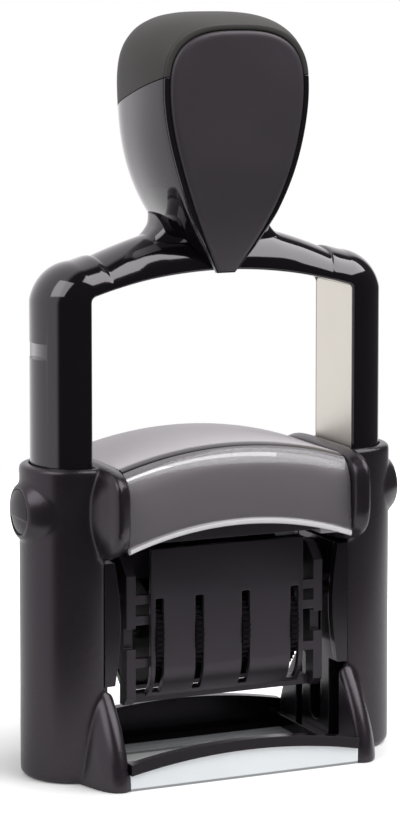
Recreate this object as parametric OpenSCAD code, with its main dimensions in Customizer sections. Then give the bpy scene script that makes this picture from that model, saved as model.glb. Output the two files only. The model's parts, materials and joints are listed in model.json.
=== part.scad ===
// Self-inking date stamp: pressing the handle bow flips a date unit from its ink pad down to the paper.
// X runs across the two towers, the front faces -Y, and the paper is the plane z = 0.

/* [Stroke] */
// Downward travel of the handle bow
travel = 29; // [25:0.5:33]
// Distance from the turning axis to the type face
face_reach = 6.5; // [6.2:0.1:8]
// Height of the type face over the paper plane when pressed
print_gap = 0.2; // [0.1:0.05:0.6]
// Gap between the type face and the ink pad at rest
ink_gap = 0.3; // [0.2:0.05:1]
// Distance of the cam pins from the turning axis
cam_reach = 6; // [5.5:0.1:6.4]
// Clear gap between sliding faces
slide_gap = 0.3; // [0.2:0.05:0.5]

/* [Handle bow] */
// Clear width between the arms
bow_w = 52; // [50:0.5:60]
// Radius of the half-round arms
arm_r = 8; // [7.5:0.1:9]
// Straight depth of the arms before the half round starts
arm_flat = 0.5; // [0.2:0.1:1.5]
// Rise of the arched underside
bow_rise = 3.9; // [3:0.1:6]
// Thickness of the bow under the knob
bow_mid_t = 7.3; // [6:0.1:9]
// Thickness of the bow where it enters the shoulders
bow_end_t = 5.6; // [4:0.1:5.8]
// Thickness of the shoulders on top
shoulder_t = 6.1; // [6:0.1:8]
// Radius of the inner corners
corner_r = 1.2; // [0.6:0.1:2.4]
// Gap between the bow and the collars at full stroke
stop_gap = 1.4; // [1:0.1:4]
// Thickness of the steel strips
strip_t = 1; // [0.6:0.1:1.5]
// Margin of the arms on each side of the steel strips
strip_margin = 0.8; // [0.6:0.1:2]

/* [Knob] */
// Height of the front plate
plate_h = 43.6; // [40:0.1:45]
// Greatest width of the front plate
plate_w = 26.2; // [24:0.1:28]
// Width of the front plate at its lower tip
tip_w = 3.4; // [2.6:0.1:5]
// Rim of the knob round the front plate
rim_w = 1.2; // [1:0.1:2]
// Greatest width of the knob
knob_w = 32.5; // [31:0.1:36]
// Height of the knob over its seat on the neck
knob_h = 36.5; // [35.5:0.1:40]
// Height of the knob's widest place over its seat
belly_h = 22.2; // [20:0.1:25]
// Depth of the knob behind the towers' centre plane
knob_back = 13.7; // [12:0.1:15]
// Forward bulge of the knob's face over its lower tip
face_bulge = 4.8; // [4:0.1:5.6]
// Height over the tip at which the face stands upright
bulge_h = 21.6; // [18:0.1:26]
// Thickness of the front plate
plate_t = 1.1; // [0.8:0.1:1.6]
// Height of the front plate's face over the rim
plate_proud = 0.6; // [0.2:0.1:0.7]
// Height of the cap's seam over the knob's seat, at the middle
seam_h = 21.2; // [19:0.1:24]
// Fall of the cap's seam from the front to the back, per unit of depth
seam_slope = 0.31; // [0.2:0.01:0.4]
// Height of the neck over the bow
neck_h = 2.8; // [2.2:0.1:4]

/* [Towers] */
// Wall of the towers in front of and behind the arms
tower_wall = 1.2; // [1:0.1:2]
// Sideways shift of the outer wall's axis from the arm's axis
tower_shift = 0.5; // [0.2:0.1:1.2]
// Floor under the return springs
floor_t = 2.2; // [1.6:0.1:2.8]
// Height of the housing over the ink pad's face
bridge_h = 14.5; // [13:0.1:18]
// Thickness of the guide plates between the arms and the date unit
guide_t = 3.2; // [2.8:0.1:4]
// Height of the guide plates' flanges over the paper plane
flange_end_z = 17.3; // [15:0.1:19]
// Reach of the ears in front of the towers' centre plane
ear_y = 17; // [16:0.1:19]
// Height of the ears
ear_h = 17.5; // [15:0.1:20]
// Reach of the foot fins in front of the towers' centre plane
foot_y = 17.5; // [16.5:0.1:20]
// Height of the foot fins
foot_h = 16.5; // [13:0.5:17]
// Drop of the lock buttons below the collars
button_drop = 8.4; // [8.2:0.1:13]
// Radius of the lock buttons
button_r = 4.1; // [3.4:0.1:4.6]
// Radius of the bosses round the lock buttons
boss_r = 7.5; // [6.6:0.1:8]
// Inward travel of the lock buttons
button_travel = 1.2; // [0.8:0.1:1.6]

/* [Pad bridge] */
// Radius of the arched roof
arch_r = 72; // [60:1:90]
// Thickness of the roof
roof_t = 1.8; // [1.4:0.1:2.6]
// Gap between the roof and the bow at full stroke
crown_gap = 2; // [0.7:0.1:3]
// Height of the index lens at its middle
lens_h = 13; // [11:0.1:14.5]
// Wall of the index lens
lens_t = 1.3; // [0.9:0.1:1.8]
// Thickness of the index card
card_t = 0.8; // [0.4:0.1:1.2]
// Radius of the lens's lower edge
lens_cut_r = 65; // [54:0.5:90]

/* [Date unit] */
// Width of the date covers
cover_w = 30.5; // [29.9:0.1:32.5]
// Half depth of the date unit over its covers
cover_y = 9; // [8.6:0.1:9.4]
// Wall of the date covers
cover_t = 1; // [0.7:0.1:1.2]
// Radius of the setting wheels
wheel_r = 9.6; // [9.2:0.1:10]
// Width of the setting wheels' rims
wheel_t = 1.5; // [1:0.1:2]
// Teeth round each setting wheel
wheel_teeth = 56; // [40:1:64]
// Radius of the wheel shaft
shaft_r = 1.5; // [1:0.1:2.2]
// Radius of the drums that carry the bands
drum_r = 6; // [5:0.1:6.2]
// Thickness of the bands
band_t = 0.9; // [0.6:0.1:1.2]
// Height of the raised digits
type_h = 0.6; // [0.3:0.1:0.8]
// Radius of the pivot pins
pivot_r = 2; // [1.4:0.1:2.4]
// Radius of the cam pins
cam_r = 1.2; // [0.9:0.1:1.4]

/* [Base] */
// Height of the base rails that the guide plates stand on
rail_h = 2.9; // [2:0.1:4]
// Height of the front bar's upper edge at its middle
bar_z = 7.1; // [6.4:0.1:9]
// Height of the front bar
bar_h = 1.9; // [1.4:0.1:2.6]
// Fall of the bars from the middle to the ends
bar_fall = 2.3; // [1.6:0.1:2.8]
// Depth of the bars
bar_t = 2; // [1.6:0.1:2.6]
// Thickness of the clear window
window_t = 1; // [0.8:0.1:1.4]
// Thickness of the clear floor plate
plate_floor_t = 0.6; // [0.4:0.05:0.8]

/* [Return springs] */
// Radius of the coil to the middle of the wire
coil_r = 2.7; // [2.2:0.1:3.2]
// Thickness of the wire
wire_t = 0.8; // [0.5:0.1:1]
// Turns of each spring
coil_turns = 8; // [5:1:12]

/* [Hidden] */
$fn = 96;
eps = 0.01;
far = 200;
LEFT = -1;
RIGHT = 1;

// Heights
axle_z = travel + face_reach + print_gap;
pad_z = axle_z + face_reach + ink_gap;
tower_h = pad_z + bridge_h;
bow_z = tower_h + travel + stop_gap;
bow_peak_z = bow_z + bow_rise;
neck_z = bow_peak_z + bow_mid_t + neck_h;
button_z = tower_h - button_drop;

// Widths
arm_x = bow_w / 2;
arm_cx = arm_x + arm_flat;
arm_out = arm_cx + arm_r;
channel_r = arm_r + slide_gap;
tower_r = channel_r + tower_wall;
tower_cx = arm_cx + tower_shift;
tower_out = tower_cx + tower_r;
guide_gap = slide_gap + 0.1;
guide_out = arm_x - guide_gap;
guide_in = guide_out - guide_t;
seam_lap = 1.2;
seam_x = guide_out - seam_lap;
cheek_lap = 0.2;
cheek_in = guide_in - cheek_lap;
seat_gap = 0.2;
bridge_x = cheek_in - seat_gap;

// Date unit
unit_gap = 2.7;
unit_x = guide_in - unit_gap;
end_t = 1.8;
end_in = unit_x - end_t;
wheel_gap = 1.1;
shaft_drop = wheel_r + wheel_gap;
wheel_places = [-0.446, -0.187, 0.118, 0.443];
wheel_x = [for (p = wheel_places) p * cover_w];
band_gap = 0.45;
function wheel_space(i) = wheel_x[i + 1] - wheel_x[i] - wheel_t - 2 * band_gap;
last_band_w = (wheel_space(2) - band_gap) / 2;
band_side = [1, 1, 1, -1];
band_w = [wheel_space(0), wheel_space(1), last_band_w, last_band_w];
band_digits = [[2, 7], [1, 1], [2], [6]];
drum_gap = 0.3;
nose_r = 1.4;
nose_y = 1.8;
nose_z = face_reach - type_h - band_t - nose_r;
pin_fit = 0.05;
press_fit = 0.02;

function arc(cx, cy, r, a0, a1, n) = [for (i = [0 : n]) let (a = a0 + (a1 - a0) * i / n)
    [cx + r * cos(a), cy + r * sin(a)]];
function mix(a, b, k) = a + (b - a) * k;
function signed_power(v, p) = sign(v) * pow(abs(v), p);
function superellipse(a, b, p, n, low_p) = [for (i = [0 : n - 1])
    let (t = 360 * i / n, e = 2 / (sin(t) < 0 && low_p != undef ? low_p : p))
    [a * signed_power(cos(t), e), b * signed_power(sin(t), e)]];

// Outline round a set of circles, each [y, z, r], by the farthest point in every direction
function support(c, a) = c[0] * cos(a) + c[1] * sin(a) + c[2];
function farthest(circles, a) = let (s = [for (c = circles) support(c, a)], m = max(s))
    [for (i = [0 : len(s) - 1]) if (s[i] == m) circles[i]][0];
function wrap(circles, n) = [for (i = [0 : n - 1]) let (a = 360 * (i + 0.5) / n, c = farthest(circles, a))
    [c[0] + c[2] * cos(a), c[1] + c[2] * sin(a)]];

// Solid skinned over rings of equal length
function skin_faces(rows, n) = concat(
    [[for (i = [0 : n - 1]) i]],
    [for (j = [0 : rows - 2], i = [0 : n - 1]) [j * n + i, (j + 1) * n + i, (j + 1) * n + (i + 1) % n]],
    [for (j = [0 : rows - 2], i = [0 : n - 1]) [j * n + i, (j + 1) * n + (i + 1) % n, j * n + (i + 1) % n]],
    [[for (i = [n - 1 : -1 : 0]) (rows - 1) * n + i]]);
module skin(rings) polyhedron([for (r = rings) each r], skin_faces(len(rings), len(rings[0])));

// Extrusions of a (y, z) outline along X and of an (x, z) outline along Y
module along_x(x0, x1) translate([x0, 0, 0]) rotate([90, 0, 90]) linear_extrude(x1 - x0) children();
module along_y(y0, y1) translate([0, y1, 0]) rotate([90, 0, 0]) linear_extrude(y1 - y0) children();
module rod_x(x0, x1, r) translate([x0, 0, 0]) rotate([0, 90, 0]) cylinder(h = x1 - x0, r = r);
module block(a, b) translate(a) cube(b - a);
module sided(side) mirror([side < 0 ? 1 : 0, 0, 0]) children();
module at_axle() translate([0, 0, axle_z]) children();
module at_shaft() translate([0, 0, axle_z - shaft_drop]) children();

// Towers with ears, foot fins and button bosses
rim_r = 0.9;
foot_fillet = 1.3;
ear_rise = 0.5;
ear_mid_z = tower_h + ear_rise - ear_h / 2;
ear_rings = [[0, 0.945, 0.95], [0.8, 0.98, 0.98], [2.7, 1, 1], [4, 0.78, 0.78], [5.4, 0.53, 0.37]];
ear_top_power = 4.5;
ear_low_power = 3;
foot_step = 0.6;
foot_in = cheek_in + foot_step;
foot_rings = [[0, 0.93], [0.6, 0.98], [2, 1], [3.4, 0.9], [4.7, 0.66], [5.7, 0.32], [6.4, 0.05]];
fin_lap = 0.5;
fin_root_y = tower_r - fin_lap;
boss_rise = 0.8;
boss_sink = 3.9;
boss_lip = 0.6;
bore_gap = 0.1;
bore_depth = 1.1;
bore_floor_x = tower_out - bore_depth;
stem_r = 1.1;
spigot_h = 4;
spigot_gap = 0.3;
slot_w = 2 * pivot_r + slide_gap + 0.1;
slot_wall = 1.8;
guide_top = axle_z + slot_w / 2 + slot_wall;

module tower() {
    profile = concat([[0, 0]],
        arc(tower_r - foot_fillet, foot_fillet, foot_fillet, -90, 0, 4),
        arc(tower_r - rim_r, tower_h - rim_r, rim_r, 0, 90, 4),
        [[0, tower_h]]);
    intersection() {
        translate([tower_cx, 0, 0]) rotate_extrude() polygon(profile);
        block([seam_x, -far, -1], [far, far, far]);
    }
}

module boss() {
    steps = 5;
    slope = [for (i = [0 : steps]) let (u = i / steps)
        [mix(boss_r, button_r + boss_lip, pow(u, 1.5)), tower_out + mix(-boss_sink, boss_rise, u)]];
    translate([0, 0, button_z]) rotate([0, 90, 0]) rotate_extrude()
        polygon(concat([[0, tower_out - boss_sink - 1]], slope, [[0, tower_out + boss_rise]]));
}

module ears()
    skin([for (r = ear_rings) let (reach = ear_y * r[1], rise = ear_h / 2 * r[2])
        [for (p = superellipse(reach, rise, ear_top_power, 32, ear_low_power))
            [cheek_in + r[0], p[0], ear_mid_z + p[1]]]]);

module foot() {
    steps = 8;
    reach = foot_y - fin_root_y;
    skin([for (r = foot_rings) let (
        edge = [for (i = [0 : steps]) let (u = i / steps)
            [fin_root_y + reach * r[1] * (1 - pow(u, 1.8)), foot_h * r[1] * u]])
        concat([for (p = edge) [foot_in + r[0], p[0], p[1]]],
            [for (i = [steps : -1 : 0]) [foot_in + r[0], -edge[i][0], edge[i][1]]])]);
}

module arm_channel() {
    module lane(x0, z0, z1) intersection() {
        translate([arm_cx, 0, z0]) cylinder(h = z1 - z0, r = channel_r);
        block([x0, -far, z0], [far, far, z1]);
    }
    lane(seam_x - 1, floor_t, guide_top + eps);
    lane(guide_out, guide_top, tower_h + 1);
}

module side_shell(side) color("#37323a") sided(side) {
    difference() {
        union() {
            tower();
            boss();
            ears();
            foot();
        }
        arm_channel();
        block([cheek_in - 1, -flange_y - seat_gap, foot_h],
            [seam_x, flange_y + seat_gap, guide_top + seat_gap]);
        block([cheek_in - 1, -fin_root_y, -1], [seam_x, fin_root_y, foot_h + 1]);
        translate([0, 0, button_z]) {
            rod_x(bore_floor_x, far, button_r + bore_gap);
            rod_x(arm_cx, far, stem_r + bore_gap);
        }
    }
    translate([spring_x, 0, floor_t - eps]) cylinder(h = spigot_h, r = coil_r - wire_t / 2 - spigot_gap);
}

// Inner walls of the towers, with the pivot slot and the cam groove
flange_bulge = 1.1;
lower_guide_y = cam_reach - 0.5;
groove_depth = guide_t / 2;
groove_w = 2 * cam_r + slide_gap;
groove_end_gap = 0.02;
tongue_y = sqrt(pow(channel_r, 2) - pow(arm_cx - seam_x, 2)) - seat_gap;
flange_lap = 0.5;
flange_y = sqrt(pow(tower_r, 2) - pow(tower_cx - seam_x, 2));

function cam_point(a) = [cam_reach * sin(a), axle_z - travel * a / 180 - cam_reach * cos(a)];
function cam_side(a) = let (run = [cam_reach * cos(a), cam_reach * sin(a) - travel / PI])
    [-run[1], run[0]] / norm(run);

module cam_groove() {
    turn = [for (i = [0 : 48]) 180 * i / 48];
    polygon(concat(
        [for (a = turn) cam_point(a) + cam_side(a) * groove_w / 2],
        [for (i = [len(turn) - 1 : -1 : 0]) cam_point(turn[i]) - cam_side(turn[i]) * groove_w / 2]));
    for (a = [0, 180]) translate(cam_point(a)) circle(r = groove_w / 2 + groove_end_gap);
}

module guide_plate(side) color("#1d1a1e") sided(side) difference() {
    union() {
        block([guide_in, -lower_guide_y, rail_h], [guide_out, lower_guide_y, flange_end_z + 1]);
        block([guide_in, -tongue_y, flange_end_z], [guide_out, tongue_y, guide_top]);
        for (y = [-flange_y, tongue_y - flange_lap])
            along_y(y, y + flange_y - tongue_y + flange_lap) guide_flange();
    }
    along_x(guide_in - 1, guide_in + groove_depth) cam_groove();
    along_x(guide_in - 1, guide_out + 1) pivot_slot();
}

module guide_flange() {
    steps = 12;
    rise = guide_top - flange_end_z;
    polygon(concat([[seam_x, flange_end_z], [seam_x, guide_top]],
        [for (i = [0 : steps]) let (u = i / steps)
            [guide_in - flange_bulge * sin(180 * u), guide_top - rise * u]]));
}

module pivot_slot() {
    low = axle_z - travel;
    translate([-slot_w / 2, low]) square([slot_w, travel]);
    for (z = [low, axle_z]) translate([0, z]) circle(r = slot_w / 2);
}

// Base frame with arched front bar and solid rear wall, and the clear window between them
face_gap = 0.1;
base_x = foot_in - face_gap;
bar_r = (pow(base_x, 2) + pow(bar_fall, 2)) / (2 * bar_fall);
rail_w = 2.4;
rail_in = base_x - rail_w;
front_y = foot_y - face_gap;
bar_lap = 0.2;
post_d = 3;
post_top = bar_z - bar_fall - bar_h / 4;
print_margin_x = 2;
print_margin_y = 2.8;

module bar_band(low, high) intersection() {
    translate([0, bar_z - bar_r]) difference() {
        circle(r = bar_r + high, $fn = 360);
        circle(r = bar_r + low, $fn = 360);
    }
    translate([-base_x, 0]) square([2 * base_x, bar_z + 1]);
}

module base_frame() color("#2b282d") {
    along_y(-front_y, -front_y + bar_t) bar_band(-bar_h, 0);
    along_y(front_y - bar_t, front_y) intersection() {
        translate([0, bar_z - bar_r]) circle(r = bar_r, $fn = 360);
        translate([-base_x, 0]) square([2 * base_x, bar_z + 1]);
    }
    for (side = [LEFT, RIGHT]) sided(side) {
        bar_back = -front_y + bar_t - bar_lap;
        block([rail_in, bar_back, 0], [base_x, front_y - bar_t + bar_lap, rail_h]);
        block([rail_in, bar_back, 0], [base_x, bar_back + post_d, post_top]);
        block([rail_in, -fin_root_y + seat_gap, 0], [seam_x - face_gap, fin_root_y - seat_gap, rail_h]);
    }
}

module base_window() color("#dfe3e6", 0.4) {
    panel_y = -front_y + bar_t / 2;
    along_y(panel_y - window_t / 2, panel_y + window_t / 2) intersection() {
        translate([0, bar_z - bar_r]) circle(r = bar_r - bar_h, $fn = 360);
        translate([-base_x, 0]) square([2 * base_x, bar_z]);
    }
    difference() {
        block([face_gap - rail_in, panel_y, 0], [rail_in - face_gap, front_y - bar_t, plate_floor_t]);
        block([-cover_w / 2 - print_margin_x, print_margin_y - cover_y, -1],
            [cover_w / 2 + print_margin_x, cover_y - print_margin_y, 1 + plate_floor_t]);
    }
}

// Arched pad bridge, index lens and card: all bend about one axis along Y
crown_z = tower_h + stop_gap + bow_rise - crown_gap;
arch_z = crown_z - arch_r;
arch_half = 24;
roof_inset = 4;
roof_y = ear_y - roof_inset;
lens_gap = 0.2;
lens_step = 1.3;
lens_crown_r = arch_r - lens_step;
lens_low_z = crown_z - lens_step - lens_h;
lens_top_y = roof_y + lens_gap;
lens_inset = 2.3;
lens_front_y = ear_y - lens_inset;
lens_foot_inset = 1;
lens_foot_y = ear_y - lens_foot_inset;
lens_round = 3;
lens_spare = 8;
card_rise = 0.3;
ledge_t = 1;
ledge_w = 1.8;
ledge_z = pad_z - 0.6;
wall_t = 1.6;
wall_x = bridge_x - wall_t;
wall_front = roof_y - lens_round - 0.5;
tray_gap = 2.1;
tray_x = wall_x - tray_gap;

module arch_sweep() translate([0, 0, arch_z]) rotate([90, 0, 0])
    rotate([0, 0, 90 - arch_half]) rotate_extrude(angle = 2 * arch_half, $fn = 360) children();
module within_bridge() intersection() {
    children();
    block([-bridge_x, -far, 0], [bridge_x, far, far]);
}

// Lens section as (radius, forward reach), drawn inward by one distance
module lens_section(inset, wall) {
    foot_r = lens_low_z - arch_z - lens_spare;
    back = lens_top_y - lens_round;
    inner = inset + wall;
    function edge(d) = concat([[foot_r, lens_foot_y - d]],
        arc(lens_crown_r - lens_round, lens_front_y - lens_round, lens_round - d, 90, 0, 6),
        [[lens_crown_r - d, back]]);
    intersection() {
        difference() {
            polygon(concat(edge(inset), [[foot_r, back]]));
            polygon(concat(edge(inner), [[foot_r - 1, back - 1], [foot_r - 1, lens_foot_y - inner]]));
        }
        translate([foot_r, back]) square([arch_r, far]);
    }
}

module lens_cut(extra) translate([0, 0, lens_low_z - lens_cut_r]) rotate([90, 0, 0])
    cylinder(h = far, r = lens_cut_r + extra, center = true, $fn = 360);

module arch_disc(r) translate([0, 0, arch_z]) rotate([90, 0, 0])
    cylinder(h = far, r = r, center = true, $fn = 360);

module pad_bridge() color("#b3adb2") {
    within_bridge() arch_sweep() translate([arch_r - roof_t, -roof_y])
        square([roof_t, roof_y + lens_top_y - lens_gap - face_gap - lens_round]);
    for (side = [LEFT, RIGHT]) sided(side) {
        intersection() {
            block([wall_x, -wall_front, ledge_z], [bridge_x, roof_y, far]);
            arch_disc(arch_r - roof_t / 2);
        }
        block([wall_x - ledge_w, -wall_front, ledge_z], [wall_x + eps, roof_y, ledge_z + ledge_t]);
    }
}

module index_lens() color("#c9cdd0", 0.45) within_bridge() {
    difference() {
        arch_sweep() lens_section(0, lens_t);
        lens_cut(0);
    }
}

module index_card() color("#635e63") within_bridge() difference() {
    arch_sweep() lens_section(lens_t + face_gap, card_t);
    lens_cut(card_rise);
}

// Return springs: a helix with flat-lying end turns
spring_shift = 4;
spring_x = arm_cx + spring_shift;
spring_gap = 0.05;
spring_low = floor_t + wire_t / 2 + spring_gap;
pivot_margin = 4.3;
arm_low_z = axle_z + pivot_margin;
spring_high = arm_low_z - wire_t / 2 - spring_gap;
coil_sides = 6;
coil_rings = 8;

function coil_centre(t) = [coil_r * cos(360 * t), coil_r * sin(360 * t),
    mix(spring_low, spring_high, t / coil_turns)];
function coil_ring(t) = let (
    c = coil_centre(t),
    slope = (spring_high - spring_low) / coil_turns / (2 * PI * coil_r),
    along = [-sin(360 * t), cos(360 * t), slope] / sqrt(1 + slope * slope),
    out = [cos(360 * t), sin(360 * t), 0],
    up = cross(out, along))
    [for (i = [0 : coil_sides - 1]) let (a = 360 * i / coil_sides)
        c + wire_t / 2 * (cos(a) * out + sin(a) * up)];

module return_spring(side) color("#b9bcc0") sided(side) translate([spring_x, 0, 0])
    skin([for (i = [0 : coil_rings * coil_turns]) coil_ring(i / coil_rings)]);

coil_gap = min([for (i = [0 : coil_rings * (coil_turns - 1)])
    norm(coil_centre(i / coil_rings + 1) - coil_centre(i / coil_rings)) - wire_t]);
echo(least_gap_between_spring_turns = coil_gap);

// Lock buttons
button_proud = 1.7;
button_tip = tower_out + button_proud;
button_back = bore_floor_x + bore_gap + button_travel;
stem_tip = arm_cx + channel_r + slide_gap / 2;
crease_drop = 0.6;
crease_depth = 0.4;
crease_slope = 0.3;

module lock_button(side) color("#2a272b") sided(side) translate([0, 0, button_z]) {
    rim_x = tower_out + boss_rise;
    spare = button_r + 1;
    dome = button_tip - rim_x;
    crown_r = (pow(button_r, 2) + pow(dome, 2)) / (2 * dome);
    crown_a = asin(button_r / crown_r);
    crease_a = asin(crease_drop / crown_r);
    crown = arc(button_tip - crown_r, 0, crown_r, -crown_a, crown_a, 10);
    upper = arc(button_tip - crown_r, 0, crown_r, -crease_a, crown_a, 8);
    intersection() {
        rod_x(button_back, button_tip + 1, button_r);
        along_y(-far, far) polygon(concat(
            [[button_back, spare], [button_back, -spare], [rim_x - crease_slope, -spare]],
            [[button_tip - crease_depth, -crease_drop]], upper, [[rim_x, spare]]));
        translate([0, 0, -far]) linear_extrude(2 * far) polygon(concat(
            [[button_back, -spare], [rim_x, -spare]], crown, [[rim_x, spare], [button_back, spare]]));
    }
    rod_x(stem_tip, button_back + eps, stem_r);
}

// Pad tray and ink pad
tray_back = ear_y - seat_gap;
tray_front = roof_y - lens_round - 0.3;
tray_lift = 0.3;
tray_h = 6.1;
tray_top = pad_z + tray_h;
lip_t = 1;
lip_low = ledge_z + ledge_t + seat_gap;
lip_x = wall_x - seat_gap;
pad_side = 2;
pad_x = tray_x - pad_side;
pad_y = cover_y - 0.1;
pad_t = 4.6;
pad_fit = 0.05;
grip_pitch = 3;
grip_r = 0.6;
grip_h = 3;

module pad_tray() color("#26232a") difference() {
    union() {
        block([-tray_x, -tray_front, pad_z + tray_lift], [tray_x, tray_back, tray_top]);
        block([-lip_x, -tray_front, lip_low], [lip_x, roof_y, lip_low + lip_t]);
    }
    block([-pad_x, -pad_y, 0], [pad_x, pad_y, pad_z + pad_t + pad_fit]);
    for (i = [-4 : 4]) translate([i * grip_pitch, tray_back, (pad_z + tray_top) / 2])
        cylinder(h = grip_h, r = grip_r, center = true);
}

module ink_pad() color("#151317")
    block([pad_fit - pad_x, pad_fit - pad_y, pad_z], [pad_x - pad_fit, pad_y - pad_fit, pad_z + pad_t]);

// Handle bow: one section swept up an arm, round the shoulder, over the arch and down again
arm_t = arm_flat + arm_r;
bow_arc_r = (pow(arm_x, 2) + pow(bow_rise, 2)) / (2 * bow_rise);
bow_arc_z = bow_peak_z - bow_arc_r;
bend_x = arm_x - corner_r;
bend_z = bow_arc_z + sqrt(pow(bow_arc_r - corner_r, 2) - pow(bend_x, 2));
bend_a = atan2(bend_z - bow_arc_z, bend_x);
shoulder_w = 4.3;
step_x = arm_x - shoulder_w;
step_run = 0.3;
neck_x = 11;
waist = 0.9;
waist_x = 15;
notch_h = 2 * stem_r + 0.7;
notch_depth = button_travel;
pocket_gap = 0.7;
strip_w = 2 * (arm_r - strip_margin);
strip_top = bow_z;
strip_fit = 0.05;
strip_end = pivot_r + 2;

function bow_t(x) = x > step_x ? shoulder_t
    : mix(bow_mid_t, bow_end_t, max(0, (x - neck_x) / (step_x - neck_x)));
function bow_depth(x) = mix(waist, 1, max(0, (x - waist_x) / (bend_x - waist_x)));
// One station of the sweep: [x, z, angle of the outward normal, thickness, share of the full depth]
bow_xs = concat([for (i = [0 : 4]) neck_x * i / 4], [for (i = [1 : 3]) mix(neck_x, step_x, i / 4)],
    [step_x - step_run, step_x + step_run]);
bow_right = concat(
    [for (x = bow_xs) let (a = acos(x / bow_arc_r))
        [x, bow_arc_z + bow_arc_r * sin(a), a, bow_t(x), bow_depth(x)]],
    [for (i = [0 : 8]) let (a = bend_a * (1 - i / 8))
        [bend_x + corner_r * cos(a), bend_z + corner_r * sin(a), a, mix(shoulder_t, arm_t, i / 8), 1]],
    [[arm_x, arm_low_z, 0, arm_t, 1]]);
bow_stations = concat(
    [for (i = [len(bow_right) - 1 : -1 : 1]) let (s = bow_right[i]) [-s[0], s[1], 180 - s[2], s[3], s[4]]],
    bow_right);

function arm_section(n) = let (a = acos(-arm_flat / arm_r))
    [for (p = arc(arm_flat, 0, arm_r, a, -a, n)) p];
function bow_ring(s) = [for (p = arm_section(24)) let (u = p[0] * s[3] / arm_t)
    [s[0] + u * cos(s[2]), p[1] * s[4], s[1] + u * sin(s[2])]];

// Rings of the neck as [height over the bow, half width, half depth]; the saddle cuts the top one off
neck_spare = 0.5;
neck_rings = [[-2.6, neck_x + 4.6, 5], [-1.3, neck_x + 2.1, 5.7], [0, neck_x + 0.7, 6.4],
    [1.2, neck_x, 6.9], [neck_h + neck_spare, neck_x - 0.1, 7.1]];

// Saddle under the knob's foot: [share of the bow's depth, share of the neck's height over the arch]
saddle_curve = [[0.1, 1], [-0.22, 0.96], [-0.5, 0.8], [-0.75, 0.565], [-0.92, 0.345], [-1, 0.08],
    [-1.02, -0.1]];
module above_saddle(gap) along_x(-far, far) polygon(concat(
    [[far, 2 * far], [far, neck_z + gap]],
    [for (p = saddle_curve) [p[0] * arm_r * waist - gap, mix(bow_peak_z, neck_z, p[1]) + gap]],
    [[-far, bow_peak_z - 1], [-far, 2 * far]]));

module neck() difference() {
    skin([for (r = neck_rings) [for (p = superellipse(r[1], r[2], 3, 32))
        [p[0], p[1], neck_z - neck_h + r[0]]]]);
    above_saddle(0);
}

module yoke() color("#141216") difference() {
    union() {
        skin([for (s = bow_stations) bow_ring(s)]);
        neck();
    }
    for (side = [LEFT, RIGHT]) sided(side) {
        block([arm_x - 1, -strip_w / 2 - strip_fit, 0],
            [arm_x + strip_t + press_fit, strip_w / 2 + strip_fit, strip_top]);
        translate([0, 0, button_z + travel])
            block([arm_out - notch_depth, -far, -notch_h / 2], [far, far, notch_h / 2]);
        translate([0, 0, button_z]) rod_x(arm_out - notch_depth, far, stem_r + pocket_gap);
    }
}

module steel_strip(side) color("#d9d6cc") sided(side) difference() {
    block([arm_x, -strip_w / 2, axle_z - strip_end], [arm_x + strip_t, strip_w / 2, strip_top]);
    at_axle() rod_x(arm_x - 1, far, pivot_r + pin_fit);
}

// Knob: rings of tear-drop outlines from the bulging face to the rounded back
tail_lip = 0.2;
tip_z = bow_peak_z - tail_lip;
front_at_tip = arm_r + face_gap;
foot_z = tip_z - tail_lip;
wide_share = 0.753;
wide_z = tip_z + plate_h * wide_share;
flank_power = 1.75;
crown_power = 2.78;
flare_power = 2.55;
belly_power = 3;
draw_spare = 0.9;
belly_draw = neck_z + belly_h - foot_z + draw_spare;
face_spare = 1;
back_draw = 4.2;
seam_mid_z = neck_z + seam_h;
ring_low = 10;
ring_high = 8;

function front_y_at(z) = -front_at_tip - face_bulge * (1 - pow(max(0, 1 - (z - tip_z) / bulge_h), 2));
function back_y_at(z) = knob_back - back_draw * (neck_z + belly_h - z) / belly_h;
function plate_half(z) = let (q = (z - tip_z) / (wide_z - tip_z))
    tip_w / 2 + (plate_w - tip_w) / 2 * (1 - pow(max(0, 1 - q), flank_power));
function crown_half(w, z, top, power) = [for (i = [0 : ring_high]) let (a = 90 * i / ring_high)
    [w * signed_power(cos(a), 2 / power), z + top * pow(sin(a), 2 / power)]];
// Half outline of the rim round the plate from height z0 up to the middle of its top
function rim_half(z0, grow) = concat(
    [for (i = [0 : ring_low - 1]) let (z = mix(z0, wide_z, i / ring_low)) [plate_half(z) + grow, z]],
    crown_half(plate_w / 2 + grow, wide_z, tip_z + plate_h - wide_z + grow, crown_power));
// Half outline of the knob at its middle
function belly_half() = let (mid = neck_z + belly_h) concat(
    [for (i = [0 : ring_low - 1]) let (z = mix(foot_z, mid, i / ring_low))
        [knob_w / 2 * (1 - pow((mid - z) / belly_draw, flare_power)), z]],
    crown_half(knob_w / 2, mid, knob_h - belly_h, belly_power));
function both_sides(half) = let (n = len(half)) concat(
    [for (i = [0 : n - 1]) [-half[i][0], half[i][1]]],
    [for (i = [n - 2 : -1 : 0]) half[i]]);
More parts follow.
